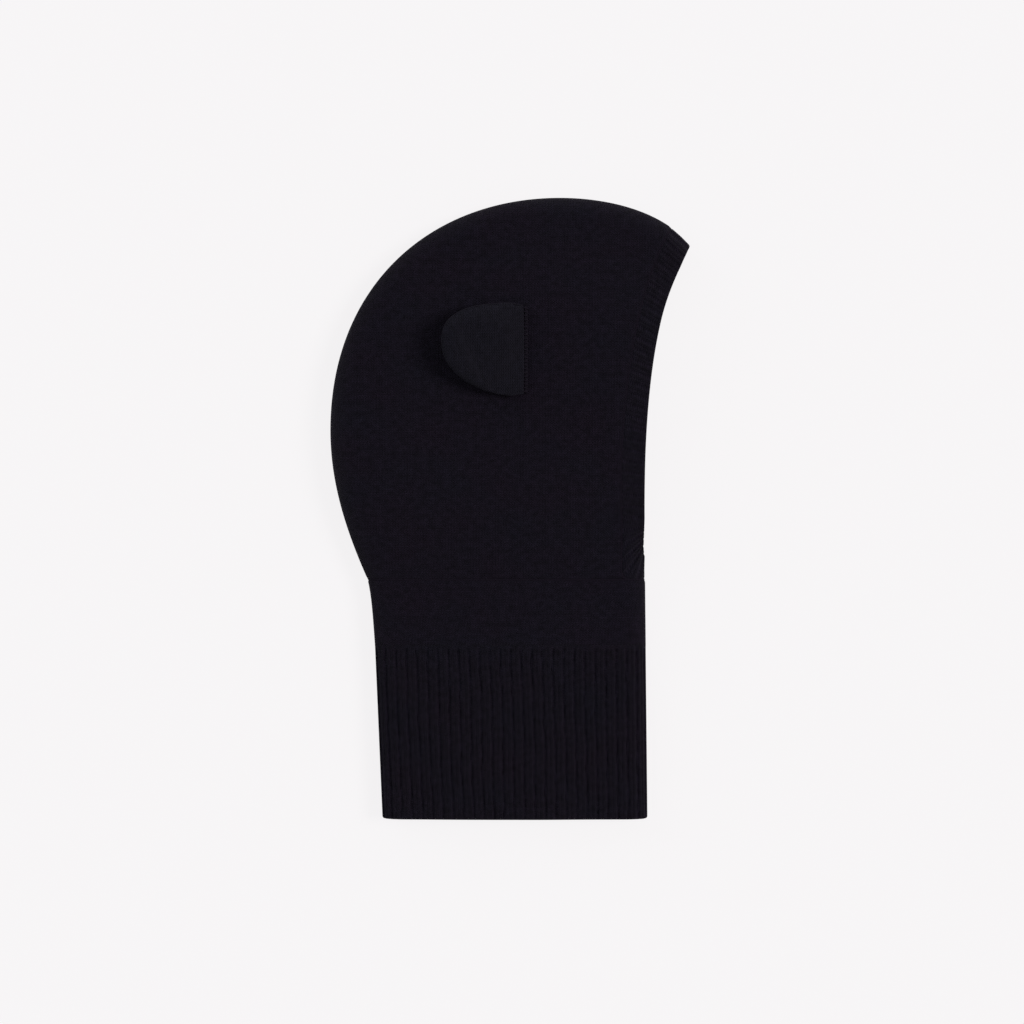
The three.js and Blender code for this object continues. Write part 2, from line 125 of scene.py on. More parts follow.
def unit(vectors):
    return vectors / np.linalg.norm(vectors, axis=-1)[..., None]


def eased(share):
    return 0.5 * (1 - np.cos(np.pi * np.asarray(share, float)))


def bezier(a, b, c, d, count=160):
    t = np.linspace(0, 1, count)[:, None]
    return (1 - t) ** 3 * a + 3 * (1 - t) ** 2 * t * b + 3 * (1 - t) * t * t * c + t ** 3 * d


def lengthsAlong(line):
    return np.concatenate([[0], np.cumsum(np.linalg.norm(np.diff(line, axis=0), axis=1))])


def pointAt(line, share):  # the place at a share of the line's length
    walked = lengthsAlong(line)
    target = np.asarray(share, float) * walked[-1]
    return np.stack([np.interp(target, walked, line[:, k]) for k in range(line.shape[1])], -1)


def ripple(x, y, seed):  # slow unevenness from -1 to 1
    waves = [(0.071, 0.031, 0.3), (-0.042, 0.083, 1.9), (0.113, -0.067, 4.1), (0.019, 0.127, 2.6)]
    total = sum(np.sin(a * x + b * y + c + seed * (i + 1.7)) for i, (a, b, c) in enumerate(waves))
    return total / len(waves)


# The outline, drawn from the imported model's box.
halfLength = -partLow[0] + 0.04
halfHeight = partHigh[1] + 0.08
outlineValues = {
    "foldHeight": 8.5,  # mm above the floor, where the knit folds along its edge
    "hoodHeight": 1000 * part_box("hood_right")[1].z,
    "neckHeight": 1000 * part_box("neck_cuff")[1].z,
    "edgeRound": 14,  # mm in from the fold, over which the upper side rounds off
    "edgeShare": 0.75,  # of its height; the rest is gained more slowly
    "crownRise": 70,  # mm over which it is gained
    "underRound": 12,  # the same as edgeRound for the under side
    "chinRound": 12,
    "trimWidth": 14.7,
    "trimCorner": 5,
    "chinTurn": 20,
    "edgeEnd": 60,  # mm by which the folds are drawn on past their ends, so that no end is nearest
    "unevenness": 0.55,  # mm, how far the laid knit strays from its smooth form
    "napeRise": (-15, 65),  # mm from the nape, over which the neck's height grows to the hood's
    "earLift": 5.9,  # how far the left panel is lifted over the ear pressed under it
    "earRoom": 12,  # how far past the ear it is lifted in full
    "earFade": 18,  # and from there on until it lies flat
}
tip = np.array([halfLength, 0.849 * halfHeight])
crown = np.array([0.278 * halfLength, halfHeight])
back = np.array([-halfLength, 0.25 * halfHeight])
nape = np.array([-0.795 * halfLength, -0.2268 * halfHeight])
cuffTopY = -0.44 * halfHeight
hemY = -halfHeight
cuffTopBack = np.array([-0.752 * halfLength, cuffTopY])
hemBack = np.array([-0.71 * halfLength, hemY])
hemFront = np.array([0.7666 * halfLength, hemY])
chin = np.array([0.752 * halfLength, -0.1526 * halfHeight])


def backLine():
    atTip = np.array([-0.1366 * halfLength, 0.1004 * halfHeight])
    before = tip - atTip / np.linalg.norm(atTip) * outlineValues["edgeEnd"]
    lean, reach = math.radians(24), 0.184 * halfHeight
    return np.concatenate([
        np.linspace(before, tip, 40)[:-1],
        bezier(tip, tip + atTip, crown + (0.296 * halfLength, 0), crown)[:-1],
        bezier(crown, crown - (0.714 * halfLength, 0), back + (0, 0.4712 * halfHeight), back)[:-1],
        bezier(back, back - (0, 0.158 * halfHeight),
               nape + (-reach * math.sin(lean), reach * math.cos(lean)), nape)[:-1],
        bezier(nape, nape + (2.6, -8), cuffTopBack + (-1.0, 14), cuffTopBack, 40)[:-1],
        np.linspace(cuffTopBack, hemBack, 60)[:-1],
        np.linspace(hemBack, 2 * hemBack - cuffTopBack, 40),
    ])


def frontLine():
    corner = outlineValues["chinRound"]
    turn = np.linspace(math.pi, 0.5 * math.pi, 40)
    arc = chin + (corner, 0) + corner * np.stack([np.cos(turn), np.sin(turn)], -1)
    return np.concatenate([
        np.linspace(hemFront - (0, outlineValues["edgeEnd"]), hemFront, 40)[:-1],
        np.linspace(hemFront, chin, 80)[:-1],
        arc[:-1],
        np.linspace(arc[-1], arc[-1] + (outlineValues["edgeEnd"], 0), 30),
    ])


def withInward(line, spacing=0.25):  # points along a fold, with the direction into the knit
    points = pointAt(line, np.linspace(0, 1, int(lengthsAlong(line)[-1] / spacing)))
    along = unit(np.gradient(points, axis=0))
    return points, np.stack([-along[:, 1], along[:, 0]], -1)


backEdge, frontEdge = backLine(), frontLine()
backWalked = lengthsAlong(backEdge)
tipAt = np.linalg.norm(backEdge - tip, axis=1).argmin()
crownAt = backEdge[:, 1].argmax()
foldPoints, foldInward = map(np.concatenate, zip(withInward(backEdge), withInward(frontEdge)))
foldTree = KDTree(len(foldPoints))
for number, (x, y) in enumerate(foldPoints):
    foldTree.insert((x, y, 0), number)
foldTree.balance()


def nearestFold(places):
    return np.array([foldTree.find((x, y, 0))[1] for x, y in places], int)


def fromFold(places):  # distance from the nearest fold, and the inward direction there
    nearest = nearestFold(places)
    apart = places - foldPoints[nearest]
    straight = np.linalg.norm(apart, axis=1)
    inward = foldInward[nearest]
    far = (straight > 2)[:, None]  # nearer than 2 mm the spacing of the points would show
    distance = np.where(far[:, 0], straight, np.maximum((apart * inward).sum(1), 0))
    return distance, np.where(far, apart / np.maximum(straight, 1e-9)[:, None], inward)


def atFold(shares):  # which of a row's places lie on a fold, at either end
    return np.flatnonzero((shares < 1e-9) | (shares > 1 - 1e-9))


def backShareAt(y):  # share of the back edge's length where it comes down to a height
    return np.interp(-np.asarray(y, float), -backEdge[crownAt:, 1], backWalked[crownAt:]) / backWalked[-1]


earDrop = 0.7  # mm, how far the middle of each ear's base is sewn below the middle of its hinge line
earJoints = {joint["child"]: inMillimetres(joint["pos_m"]) - (0, earDrop, 0) for joint in frame["joints"]}
earBaseX, earY = earJoints["ear_left"][:2]
earLength, earHalfBase = 52.0, 28.8


def overLeftEar(x, y):  # how far the left panel is lifted
    room = outlineValues["earRoom"]
    alongX = np.where(x < earBaseX, earLength + room, room)
    reach = np.hypot((x - earBaseX) / alongX, (y - earY) / (earHalfBase + room))
    radius = np.hypot(x - earBaseX, y - earY)
    outside = np.where(reach > 1, radius * (1 - 1 / np.maximum(reach, 1)), 0)
    return outlineValues["earLift"] * (1 - smoothStep(outside, 0, outlineValues["earFade"]))


def upperHeight(y):
    low, high = outlineValues["neckHeight"], outlineValues["hoodHeight"]
    start, end = (nape[1] + away for away in outlineValues["napeRise"])
    return low + (high - low) * smoothStep(y, start, end)


def inKnit(places, side, depth, split=0.0):
    # a point in the knit: place in plan, side (1 above, -1 below), depth under its outer face
    places = np.asarray(places, float)
    x, y = places.T
    side = np.broadcast_to(np.asarray(side, float), x.shape)
    depth = np.broadcast_to(np.asarray(depth, float), x.shape)
    distance, inward = fromFold(places)
    fold = outlineValues["foldHeight"] + side * split
    above = side > 0
    reach = np.where(above, outlineValues["edgeRound"], outlineValues["underRound"])
    d = distance / reach
    gain = upperHeight(y) - fold
    far = np.minimum(distance / outlineValues["crownRise"], 1)
    share = outlineValues["edgeShare"]
    upperZ = fold + gain * (share * quarter(d) + (1 - share) * far * far * (3 - 2 * far))
    upperZ += outlineValues["unevenness"] * smoothStep(distance, 2, 30) * (ripple(x, y, 0.4) - 0.35)
    farSlope = (1 - share) * 6 * far * (1 - far) / outlineValues["crownRise"]
    upperSlope = gain * (share * quarterSlope(d) / reach + farSlope)
    lowerZ = fold * (1 - quarter(d)) + overLeftEar(x, y)
    z = np.where(above, upperZ, lowerZ)
    slope = np.where(above, upperSlope, fold * quarterSlope(d) / reach)
    normal = unit(np.stack([-slope * inward[:, 0], -slope * inward[:, 1], side], -1))
    return np.stack([x, y, z], -1) - depth[:, None] * normal


def roundLength():  # how much longer the knit is than its plan, from a place near the fold inwards
    d = np.linspace(0, outlineValues["edgeRound"], 200)
    gain = outlineValues["hoodHeight"] - outlineValues["foldHeight"]
    z = outlineValues["edgeShare"] * gain * quarter(d / outlineValues["edgeRound"])
    steps = np.hypot(np.diff(d), np.diff(z))
    return d, np.concatenate([np.cumsum(steps[::-1])[::-1], [0]]) - (d[-1] - d)


roundTable = roundLength()


def flatPlace(places):  # where a place lies on the knit before it is folded
    distance, inward = fromFold(np.asarray(places, float))
    return places - inward * np.interp(distance, *roundTable)[:, None]


cheekPull = np.array([0.2472 * halfLength, 0.2444 * halfHeight])
faceEdge = bezier(tip, tip - cheekPull, chin + (-0.0236 * halfLength, 0.36 * halfHeight), chin, 400)
linkX = chin[0] - outlineValues["trimWidth"]
linkEndY = chin[1] - outlineValues["trimWidth"]
halfChannel = 0.12  # mm from the middle of a seam to the knit at either side, deep under its thread


def frontFoldX(y):
    return chin[0] + (hemFront[0] - chin[0]) * (chin[1] - y) / (chin[1] - hemY)


def linkLines():
    top = pointAt(backEdge, (outlineValues["edgeEnd"] + 1.05 * outlineValues["trimWidth"]) / backWalked[-1])
    turnY = chin[1] + outlineValues["chinTurn"]
    low = np.array([linkX, turnY])
    lowPull = np.array([linkX - 0.0236 * halfLength, chin[1] + 0.38 * halfHeight])
    cheek = bezier(top, top - cheekPull, lowPull, low, 400)
    corner = outlineValues["trimCorner"]
    turn = np.linspace(math.pi, 1.5 * math.pi, 30)
    arc = np.array([linkX + corner, linkEndY + corner]) + corner * np.stack([np.cos(turn), np.sin(turn)], -1)
    under = np.concatenate([
        np.linspace(low, [linkX, linkEndY + corner], 30)[:-1],
        arc[:-1],
        np.linspace(arc[-1], [frontFoldX(linkEndY), linkEndY], 20),
    ])
    return cheek, under


cheekLink, chinLink = linkLines()
cheekRibs, chinRibs = 27, 5
cheekShare = cheekRibs / (cheekRibs + chinRibs)
freeShare = 1 - outlineValues["chinTurn"] / lengthsAlong(faceEdge)[-1]


def trimEdges(share):  # free edge and linking line, at shares of the way from forehead to chin
    share = np.asarray(share, float)
    inCheek = share < cheekShare
    part = np.where(inCheek, share / cheekShare, (share - cheekShare) / (1 - cheekShare))
    free = pointAt(faceEdge, np.where(inCheek, part * freeShare, freeShare + part * (1 - freeShare)))
    link = np.where(inCheek[:, None], pointAt(cheekLink, part), pointAt(chinLink, part))
    return free, link


def onTrim(share, past):  # place in plan, a distance past the linking line
    share = np.asarray(share, float)
    free, link = trimEdges(share)
    across = link - free
    places = free + across * (1 + past / np.linalg.norm(across, axis=1))[:, None]
    ends = atFold(share)
    places[ends] = foldPoints[nearestFold(places[ends])]
    return places


def setStitches(mesh, stitches):  # wales and courses counted along the knit, and how far it is purl
    layer = mesh.attributes.new("stitch", "FLOAT_VECTOR", "POINT")
    layer.data.foreach_set("vector", np.asarray(stitches, np.float32).ravel())


def makePiece(name, points, faces, material, stitches=None, weld=False):  # points in millimetres
    mesh = bpy.data.meshes.new(name)
    mesh.from_pydata((np.reshape(points, (-1, 3)) * 0.001).tolist(), [], faces)
    if stitches is not None:
        setStitches(mesh, stitches)
    work = bmesh.new()
    work.from_mesh(mesh)
    if weld:
        bmesh.ops.remove_doubles(work, verts=work.verts, dist=2e-6)
        bmesh.ops.dissolve_degenerate(work, edges=work.edges, dist=1e-7)
    bmesh.ops.recalc_face_normals(work, faces=work.faces)
    if work.calc_volume(signed=True) < 0:
        bmesh.ops.reverse_faces(work, faces=work.faces)
    work.to_mesh(mesh)
    work.free()
    mesh.polygons.foreach_set("use_smooth", np.ones(len(mesh.polygons), bool))
    mesh.materials.append(material)
    return putInScene(name, mesh)


def gridFaces(rows, columns, closeRows=False, closeColumns=False, start=0):
    i = np.arange(rows if closeRows else rows - 1)
    j = np.arange(columns if closeColumns else columns - 1)
    i, j = np.meshgrid(i, j, indexing="ij")
    nextI, nextJ = (i + 1) % rows, (j + 1) % columns
    corners = [i * columns + j, i * columns + nextJ, nextI * columns + nextJ, nextI * columns + j]
    return (np.stack([c.ravel() for c in corners], -1) + start).tolist()


def tubeFaces(rows, sides, start=0):  # an open tube with capped ends
    last = start + (rows - 1) * sides
    caps = [list(range(start, start + sides)), list(range(last, last + sides))]
    return gridFaces(rows, sides, closeColumns=True, start=start) + caps


def makeKnitRing(name, points, stitches, material):  # sections one after another, closed both ways
    faces = gridFaces(*np.shape(points)[:2], closeRows=True, closeColumns=True)
    return makePiece(name, points, faces, material, stitches)


def strandRings(line, forward, out, radius, sides):  # a round strand, as a ring of corners at each step
    u = unit(np.cross(forward, out))
    v = np.cross(u, forward)
    ring = np.linspace(0, 2 * math.pi, sides, endpoint=False)[:, None]
    return line[:, None] + radius * (u[:, None] * np.cos(ring) + v[:, None] * np.sin(ring))


def roundedEnds(share, power, least):  # the thickness of one stitch along its length
    return np.sqrt(np.clip(1 - (2 * share - 1) ** power, least, 1))[:, None, None]


def finishPiece(piece, body, slot, *nodes):
    if nodes:
        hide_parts(*nodes)
    if body:
        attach(piece, body)
    print("made", piece.name, len(piece.data.polygons), "faces")
    return piece


def toLinear(hexColour):
    values = [int(hexColour[i:i + 2], 16) / 255 for i in (1, 3, 5)]
    return [v / 12.92 if v <= 0.04045 else ((v + 0.055) / 1.055) ** 2.4 for v in values] + [1.0]


def addNode(tree, kind, settings=None, inputs=None):
    node = tree.nodes.new(kind)
    for name, value in (settings or {}).items():
        setattr(node, name, value)
    for socket, value in (inputs or {}).items():
        if isinstance(value, bpy.types.Node):
            value = value.outputs[0]
        if isinstance(value, bpy.types.NodeSocket):
            tree.links.new(value, node.inputs[socket])
        else:
            node.inputs[socket].default_value = value
    return node


def startMaterial(name):
    material = bpy.data.materials.new(name)
    material.use_nodes = True
    material.node_tree.nodes.clear()
    return material, material.node_tree


def closeMaterial(tree, shader):
    addNode(tree, "ShaderNodeOutputMaterial", None, {"Surface": shader})


# Fine-gauge acrylic and wool yarn, piece-dyed blue-black and knitted plain or in ribs. It is matte and soft:
# light sinks in between the stitches, painted here as a darker colour in those hollows (painted shade), and
# loose fibres give a faint cool bloom where the cloth turns away.
def knittedYarn(name, values):
    material, tree = startMaterial(name)
    place = addNode(tree, "ShaderNodeAttribute", {"attribute_name": "stitch"}).outputs["Vector"]
    wale, course, purl = addNode(tree, "ShaderNodeSeparateXYZ", None, {0: place}).outputs
    noises = {}
    for use, detail, roughness in (
            ("wander", 2, 0.5), ("fibre", 4, 0.7), ("pile", 3, 0.55), ("tension", 2, 0.6)):
        noises[use] = addNode(tree, "ShaderNodeTexNoise", None, {
            "Vector": place, "Scale": values["wale"] / values[use], "Detail": detail,
            "Roughness": roughness}).outputs["Fac"]
    # each plain stitch is a V: its two legs rise from the middle of the wale to its sides
    # a purl wale shows the loops' heads instead, as short bars across it
    steps = {}
    for step, operation, *inputs in (
        ("swayed", "MULTIPLY_ADD", noises["wander"], values["sway"], wale),
        ("inWale", "FRACT", "swayed"),
        ("offCentre", "SUBTRACT", "inWale", 0.5),
        ("fromCentre", "ABSOLUTE", "offCentre"),
        ("leg", "MULTIPLY", "fromCentre", 2.0),
        ("climb", "MULTIPLY_ADD", "leg", -0.75, course),
        ("climbTurn", "MULTIPLY", "climb", math.pi),
        ("climbWave", "SINE", "climbTurn"),
        ("climbLift", "ABSOLUTE", "climbWave"),
        ("legTurn", "MULTIPLY", "leg", math.pi),
        ("legLift", "SINE", "legTurn"),
        ("legRound", "POWER", "legLift", 0.6),
        ("plain", "MULTIPLY", "climbLift", "legRound"),
        ("barTurn", "MULTIPLY", course, 2 * math.pi),
        ("barWave", "SINE", "barTurn"),
        ("bars", "MULTIPLY_ADD", "barWave", 0.3, 0.4),
    ):
        linked = {i: steps.get(value, value) for i, value in enumerate(inputs)}
        steps[step] = addNode(tree, "ShaderNodeMath", {"operation": operation}, linked)
    relief = addNode(tree, "ShaderNodeMix", {"data_type": "FLOAT"}, {
        "Factor": purl, 2: steps["plain"], 3: steps["bars"]})
    height = addNode(tree, "ShaderNodeMath", {"operation": "MULTIPLY_ADD"}, {
        0: noises["fibre"], 1: 0.45, 2: relief})
    # painted shade: the relief sets the colour, from the dark 'between' in the hollows up to the yarn's own
    # colour on the stitches
    shade = addNode(tree, "ShaderNodeValToRGB", None, {"Fac": relief})
    for element, position, colour in zip(shade.color_ramp.elements, (0.0, 0.75), ("between", "yarn")):
        element.position = position
        element.color = toLinear(values[colour])
    # fine streaks along the yarn, slower patches where the pile lies differently, and groups of tighter
    # stitches, which lie deeper: their darkening, at random places, is painted shade
    ranges = {}
    for use, source, fromMin, fromMax, toMin, toMax in (
        ("fleck", "fibre", 0.35, 0.75, 0.0, 0.55),
        ("worn", "pile", 0.3, 0.7, 0.0, 0.5),
        ("depth", "tension", 0.3, 0.7, values["tight"], values["loose"]),
        ("rough", "fibre", 0.2, 0.8, values["roughness"] - 0.08, values["roughness"]),
    ):
        ranges[use] = addNode(tree, "ShaderNodeMapRange", None, {
            "Value": noises[source], "From Min": fromMin, "From Max": fromMax,
            "To Min": toMin, "To Max": toMax})
    flecked = addNode(tree, "ShaderNodeMix", {"data_type": "RGBA"}, {
        "Factor": ranges["fleck"], 6: shade, 7: toLinear(values["fibreColour"])})
    coloured = addNode(tree, "ShaderNodeMix", {"data_type": "RGBA"}, {
        "Factor": ranges["worn"], 6: flecked.outputs[2], 7: toLinear(values["worn"])})
    varied = addNode(tree, "ShaderNodeVectorMath", {"operation": "SCALE"}, {
        0: coloured.outputs[2], 3: ranges["depth"]})
    bump = addNode(tree, "ShaderNodeBump", None, {
        "Strength": 1.0, "Distance": values["bumpHeight"] * 0.001, "Height": height})
    shader = addNode(tree, "ShaderNodeBsdfPrincipled", None, {
        "Base Color": varied, "Roughness": ranges["rough"], "Normal": bump,
        "IOR": 1.5, "Specular IOR Level": values["specular"], "Sheen Weight": values["sheen"],
        "Sheen Roughness": 0.45, "Sheen Tint": toLinear(values["sheenTint"])})
    closeMaterial(tree, shader)
    return material


yarnValues = {
    "yarn": "#150d19",
    # painted shade: the dark in the hollows between the stitches
    "between": "#040305",
    "fibreColour": "#231c29",
    "worn": "#10111a",
    "wale": 1.9,  # mm across; the real stitch is about 1.5, drawn a little coarser so that it shows
    "fibre": 0.6129,  # mm, streaks a third of a stitch wide, as thick as the yarn
    "tension": 4.524,  # mm, two or three stitches that were drawn tighter together
    "pile": 42.22,  # mm, where the cloth was brushed or pressed one way
    "wander": 5.429,  # mm, how soon a wale strays to one side and back
    "sway": 0.35,  # of a wale
    # scales on the stitches' colour: the darkening of the tight ones is painted shade for their depth
    "loose": 1.3,
    "tight": 0.66,
    "roughness": 0.9,
    "specular": 0.07,
    "sheen": 0.025,
    "sheenTint": "#b9b4c8",
    "bumpHeight": 0.6,  # mm
}
plainKnit = knittedYarn("plain knitted acrylic wool yarn", yarnValues)
ribKnit = knittedYarn("ribbed knitted acrylic wool yarn", {
    **yarnValues, "yarn": "#150f19", "between": "#050406", "sway": 0.2, "bumpHeight": 0.7})
# The ears' knit: evener stitches than the hood's, with lighter, bluer colours painted in for the light the
# lifted right ear catches (painted light).
earKnitWithPaintedLight = knittedYarn("dense knitted acrylic wool yarn", {
    **yarnValues, "yarn": "#17141d", "between": "#060508", "fibreColour": "#23212b", "worn": "#14141e",
    "loose": 1.24, "tight": 0.74, "bumpHeight": 0.8})


# Polyester, dyed before it is spun or woven. Its filaments catch the light one by one: this is painted as two
# close shades, the lighter one a painted glint.
def dyedPolyester(name, texture, filaments, values, **finish):
    material, tree = startMaterial(name)
    place = addNode(tree, "ShaderNodeTexCoord").outputs["Object"]
    filament = addNode(tree, texture, None, {"Vector": place, **filaments}).outputs["Fac"]
    shade = addNode(tree, "ShaderNodeMix", {"data_type": "RGBA"}, {
        "Factor": filament, 6: toLinear(values["dark"]), 7: toLinear(values["light"])})
    smoothest, roughest = values["roughness"]
    rough = addNode(tree, "ShaderNodeMapRange", None, {
        "Value": filament, "To Min": smoothest, "To Max": roughest})
    bump = addNode(tree, "ShaderNodeBump", None, {
        "Strength": values["bumpStrength"], "Distance": values["bumpHeight"] * 0.001, "Height": filament})
    shader = addNode(tree, "ShaderNodeBsdfPrincipled", None, {
        "Base Color": shade.outputs[2], "Roughness": rough, "Normal": bump, **finish})
    closeMaterial(tree, shader)
    return material


# Spun thread, three plies laid round one another: duller and darker than the yarn.
threadValues = {
    "fibre": 0.4,  # mm, a bundle of filaments as wide as a ply
    "dark": "#0e0912",
    "light": "#18121d",
    "roughness": (0.55, 0.8),
    "bumpStrength": 0.4,
    "bumpHeight": 0.1,  # mm
}
threadFibre = {"Scale": 1000 / threadValues["fibre"], "Detail": 3.0}
threadFinish = {"Specular IOR Level": 0.06, "Sheen Weight": 0.01}
seamThread = dyedPolyester(
    "spun polyester linking thread", "ShaderNodeTexNoise", threadFibre, threadValues, **threadFinish)
rimThread = dyedPolyester(
    "spun polyester edging thread", "ShaderNodeTexNoise", threadFibre,
    {**threadValues, "dark": "#0f0d13", "light": "#1b1821"}, **threadFinish)

# Woven satin ribbon, heat-cut: its long floats give it a smooth, silky face.
ribbonValues = {
    "float": 1.885,  # mm from one float to the next; real ones are about 0.3, too fine to show
    "dark": "#232226",
    "light": "#3a393f",
    "roughness": (0.32, 0.45),
    "bumpStrength": 0.3,
    "bumpHeight": 0.05,  # mm
}
ribbonFloats = {"Scale": 2 * math.pi / 20 * 1000 / ribbonValues["float"], "Distortion": 0.6}
labelSatin = dyedPolyester(
    "woven polyester satin", "ShaderNodeTexWave", ribbonFloats, ribbonValues, Anisotropic=0.4)


hoodValues = {
    "wale": yarnValues["wale"],
    "course": 1.45,
    "thickness": 2.2,
    "roll": 1.35,  # how far the linked edges roll down into their seams
    "rollWidth": 1.9,
    "rows": 150,
    "crownRoom": 4.5,  # mm kept at the lower end of the crown seam for the rows that roll down
    "frontRoom": 6.5,  # and at the lower end of the front edge
    "flatColumns": 80,
    "roundColumns": 34,  # closer together, over the round beside the fold
    "roundReach": 1.15,  # of edgeRound
}
panelEndY = linkEndY + halfChannel
neckTopY = linkEndY - halfChannel
closeSteps = np.array([2.6, 1.9, 1.4, 0.9, 0.5, 0.2, 0.0])  # mm from an edge, for the rows that roll down
rollSteps = (0.0, 0.1, 0.3, 0.6, 1.0, 1.4, 1.9)
panelCorner = onTrim([0.0], halfChannel)[0]
crownStart = np.interp(-panelCorner[0], -backEdge[tipAt:crownAt, 0], backWalked[tipAt:crownAt])
crownStart /= backWalked[-1]
crownEnd = float(backShareAt(panelEndY))


def rolledIn(away, values):  # how deep a linked edge lies, at a distance from it
    return values["roll"] * (1 - quarter(away / values["rollWidth"]))


def panelPlaces():  # rows across a panel from the crown seam to the front edge
    front = onTrim(np.linspace(0, 1, 1200), halfChannel)
    front = front[: np.flatnonzero(front[:, 1] < panelEndY)[0]]
    front = np.concatenate([front, [[front[-1][0], panelEndY]]])
    crownLength = (crownEnd - crownStart) * backWalked[-1]
    main = np.linspace(0, 1, hoodValues["rows"])
    upTo = 1 - hoodValues["crownRoom"] / crownLength
    starts = pointAt(backEdge, crownStart + (crownEnd - crownStart) * main * upTo)
    ends = pointAt(front, eased(main) * (1 - hoodValues["frontRoom"] / lengthsAlong(front)[-1]))
    starts[0] = ends[0] = panelCorner
    lastY = panelEndY + closeSteps
    starts = np.concatenate([starts, pointAt(backEdge, backShareAt(lastY))])
    ends = np.concatenate([ends, np.stack([np.interp(-lastY, -front[:, 1], front[:, 0]), lastY], -1)])
    places, fromFront = [], []
    for start, end in zip(starts, ends):
        width = max(np.linalg.norm(end - start), 1e-6)
        near = min(hoodValues["roundReach"] * outlineValues["edgeRound"] / width, 0.45)
        turn = np.linspace(0, 0.5 * math.pi, hoodValues["roundColumns"] + 1)
        edge = 1 - closeSteps / max(width, 20)
        middle = np.linspace(near, edge[0], hoodValues["flatColumns"])[1:-1]
        shares = np.concatenate([near * (1 - np.cos(turn)), middle, edge])
        places.append(start + (end - start) * shares[:, None])
        fromFront.append((1 - shares) * width)
    return np.array(places), np.array(fromFront)


def makeHoodPanel(name, side, node):
    places, fromFront = panelPlaces()
    rows, columns = places.shape[:2]
    flat = places.reshape(-1, 2)
    fold, _ = fromFold(flat)
    rise, reach = outlineValues["foldHeight"], outlineValues["underRound"]
    if side > 0:
        rise = outlineValues["edgeShare"] * (outlineValues["hoodHeight"] - rise)
        reach = outlineValues["edgeRound"]
    fromCrown = np.hypot(fold, rise * quarter(fold / reach))
    edge = np.minimum(np.minimum(fromFront.ravel(), flat[:, 1] - panelEndY), fromCrown)
    laid = flatPlace(flat)
    outer = inKnit(flat, side, rolledIn(edge, hoodValues), halfChannel)
    inner = inKnit(flat, side, hoodValues["thickness"], halfChannel)
    stitches = np.column_stack([
        laid[:, 0] / hoodValues["wale"], laid[:, 1] / hoodValues["course"], np.zeros(len(laid))])
    outer, inner, stitches = (a.reshape(rows, columns, 3) for a in (outer, inner, stitches))
    loops = np.concatenate([outer, inner[:, ::-1]], axis=1)
    loopStitches = np.concatenate([stitches, stitches[:, ::-1]], axis=1)
    count = 2 * columns
    faces = gridFaces(rows, count, closeColumns=True)
    for start in (0, (rows - 1) * count):
        faces += [[start + j, start + j + 1, start + count - 2 - j, start + count - 1 - j]
                  for j in range(columns - 1)]
    piece = makePiece(name, loops, faces, plainKnit, loopStitches, weld=True)
    return finishPiece(piece, "balaclava", "hood_knit", node)


hoodRight = makeHoodPanel("hoodPanelRight", 1, "hood_right")
hoodLeft = makeHoodPanel("hoodPanelLeft", -1, "hood_left")


def ribProfile(phase, values):
    # two plain wales raised and two purl wales sunk: depth below the outer face at a place within one rib,
    # 0 to 1 with the raised pair centred on 0
    away = np.abs((phase + 0.5) % 1 - 0.5)
    sunk = smoothStep(away, values["raised"] - 0.05, values["raised"] + 0.06)
    pair = np.abs(np.sin(math.pi * np.clip(away / values["raised"], 0, 1)))  # two wales side by side
    groove = (1 - pair ** 0.6) * (1 - sunk)
    return sunk * values["ribDepth"] + groove * values["waleGroove"], sunk


def ribTension(rib, y):  # each rib is pulled in more in some places than in others
    rib = np.floor(rib)
    slow = np.sin(0.23 * y + 2.4 * rib) * np.sin(0.061 * y + 1.3 * rib + 0.5)
    return 0.95 + 0.26 * slow + 0.24 * np.sin(0.61 * y + 4.1 * rib) * np.sin(0.17 * y + 0.9 * rib)


def ringColumns(shares):  # round a flattened ring: out along the upper side and back along the under side
    upper = np.asarray(shares)
    return (np.concatenate([upper, upper[1:-1][::-1]]),
            np.concatenate([np.ones(len(upper)), -np.ones(len(upper) - 2)]))


def acrossNeck(y, side, count=400):  # places across one side at a height, with the length walked to each
    atBack = pointAt(backEdge, backShareAt(y))
    x = atBack[0] + (frontFoldX(y) - atBack[0]) * eased(np.linspace(0, 1, count))
    places = np.column_stack([x, np.full(count, y)])
    places[0] = atBack
    return x, lengthsAlong(inKnit(places, side, 0))


def neckTube(levels, shares, ribs=None, values=None):
    # levels: (height, depth, how much of the ribbing shows there); gives points and stitch places
    shares, sides = ringColumns(shares)
    tables = {y: {side: acrossNeck(y, side) for side in (1, -1)} for y, _, _ in levels}
    points, stitches = [], []
    for y, depth, ribbing in levels:
        places = np.full((len(shares), 2), y, float)
        around = np.empty(len(shares))
        for side, (x, walked) in tables[y].items():
            chosen = sides == side
            share = shares[chosen]
            if ribs:  # ribs wander a little as they run down
                slow, quick = values["stray"]
                stray = slow * np.sin(0.07 * y + 9 * share) + quick * np.sin(0.19 * y + 4)
                share = share + stray / walked[-1] * np.sin(math.pi * share)
            around[chosen] = share * walked[-1]
            places[chosen, 0] = np.interp(around[chosen], walked, x)
        ends = atFold(shares)
        places[ends, 0] = foldPoints[nearestFold(places[ends]), 0]
        extra, purl, wales = 0.0, np.zeros(len(shares)), around / hoodValues["wale"]
        if ribs:
            extra, purl = ribProfile(shares * ribs, values)
            extra = extra * ribTension(shares * ribs + 0.5, y)
            wales = shares * ribs * 4
        points.append(inKnit(places, sides, depth + ribbing * extra))
        stitches.append(np.column_stack([wales, np.full(len(shares), y / values["course"]), purl]))
    return points, stitches


bandValues = {"course": 1.45, "thickness": 2.4, "roll": 1.35, "rollWidth": 1.9}


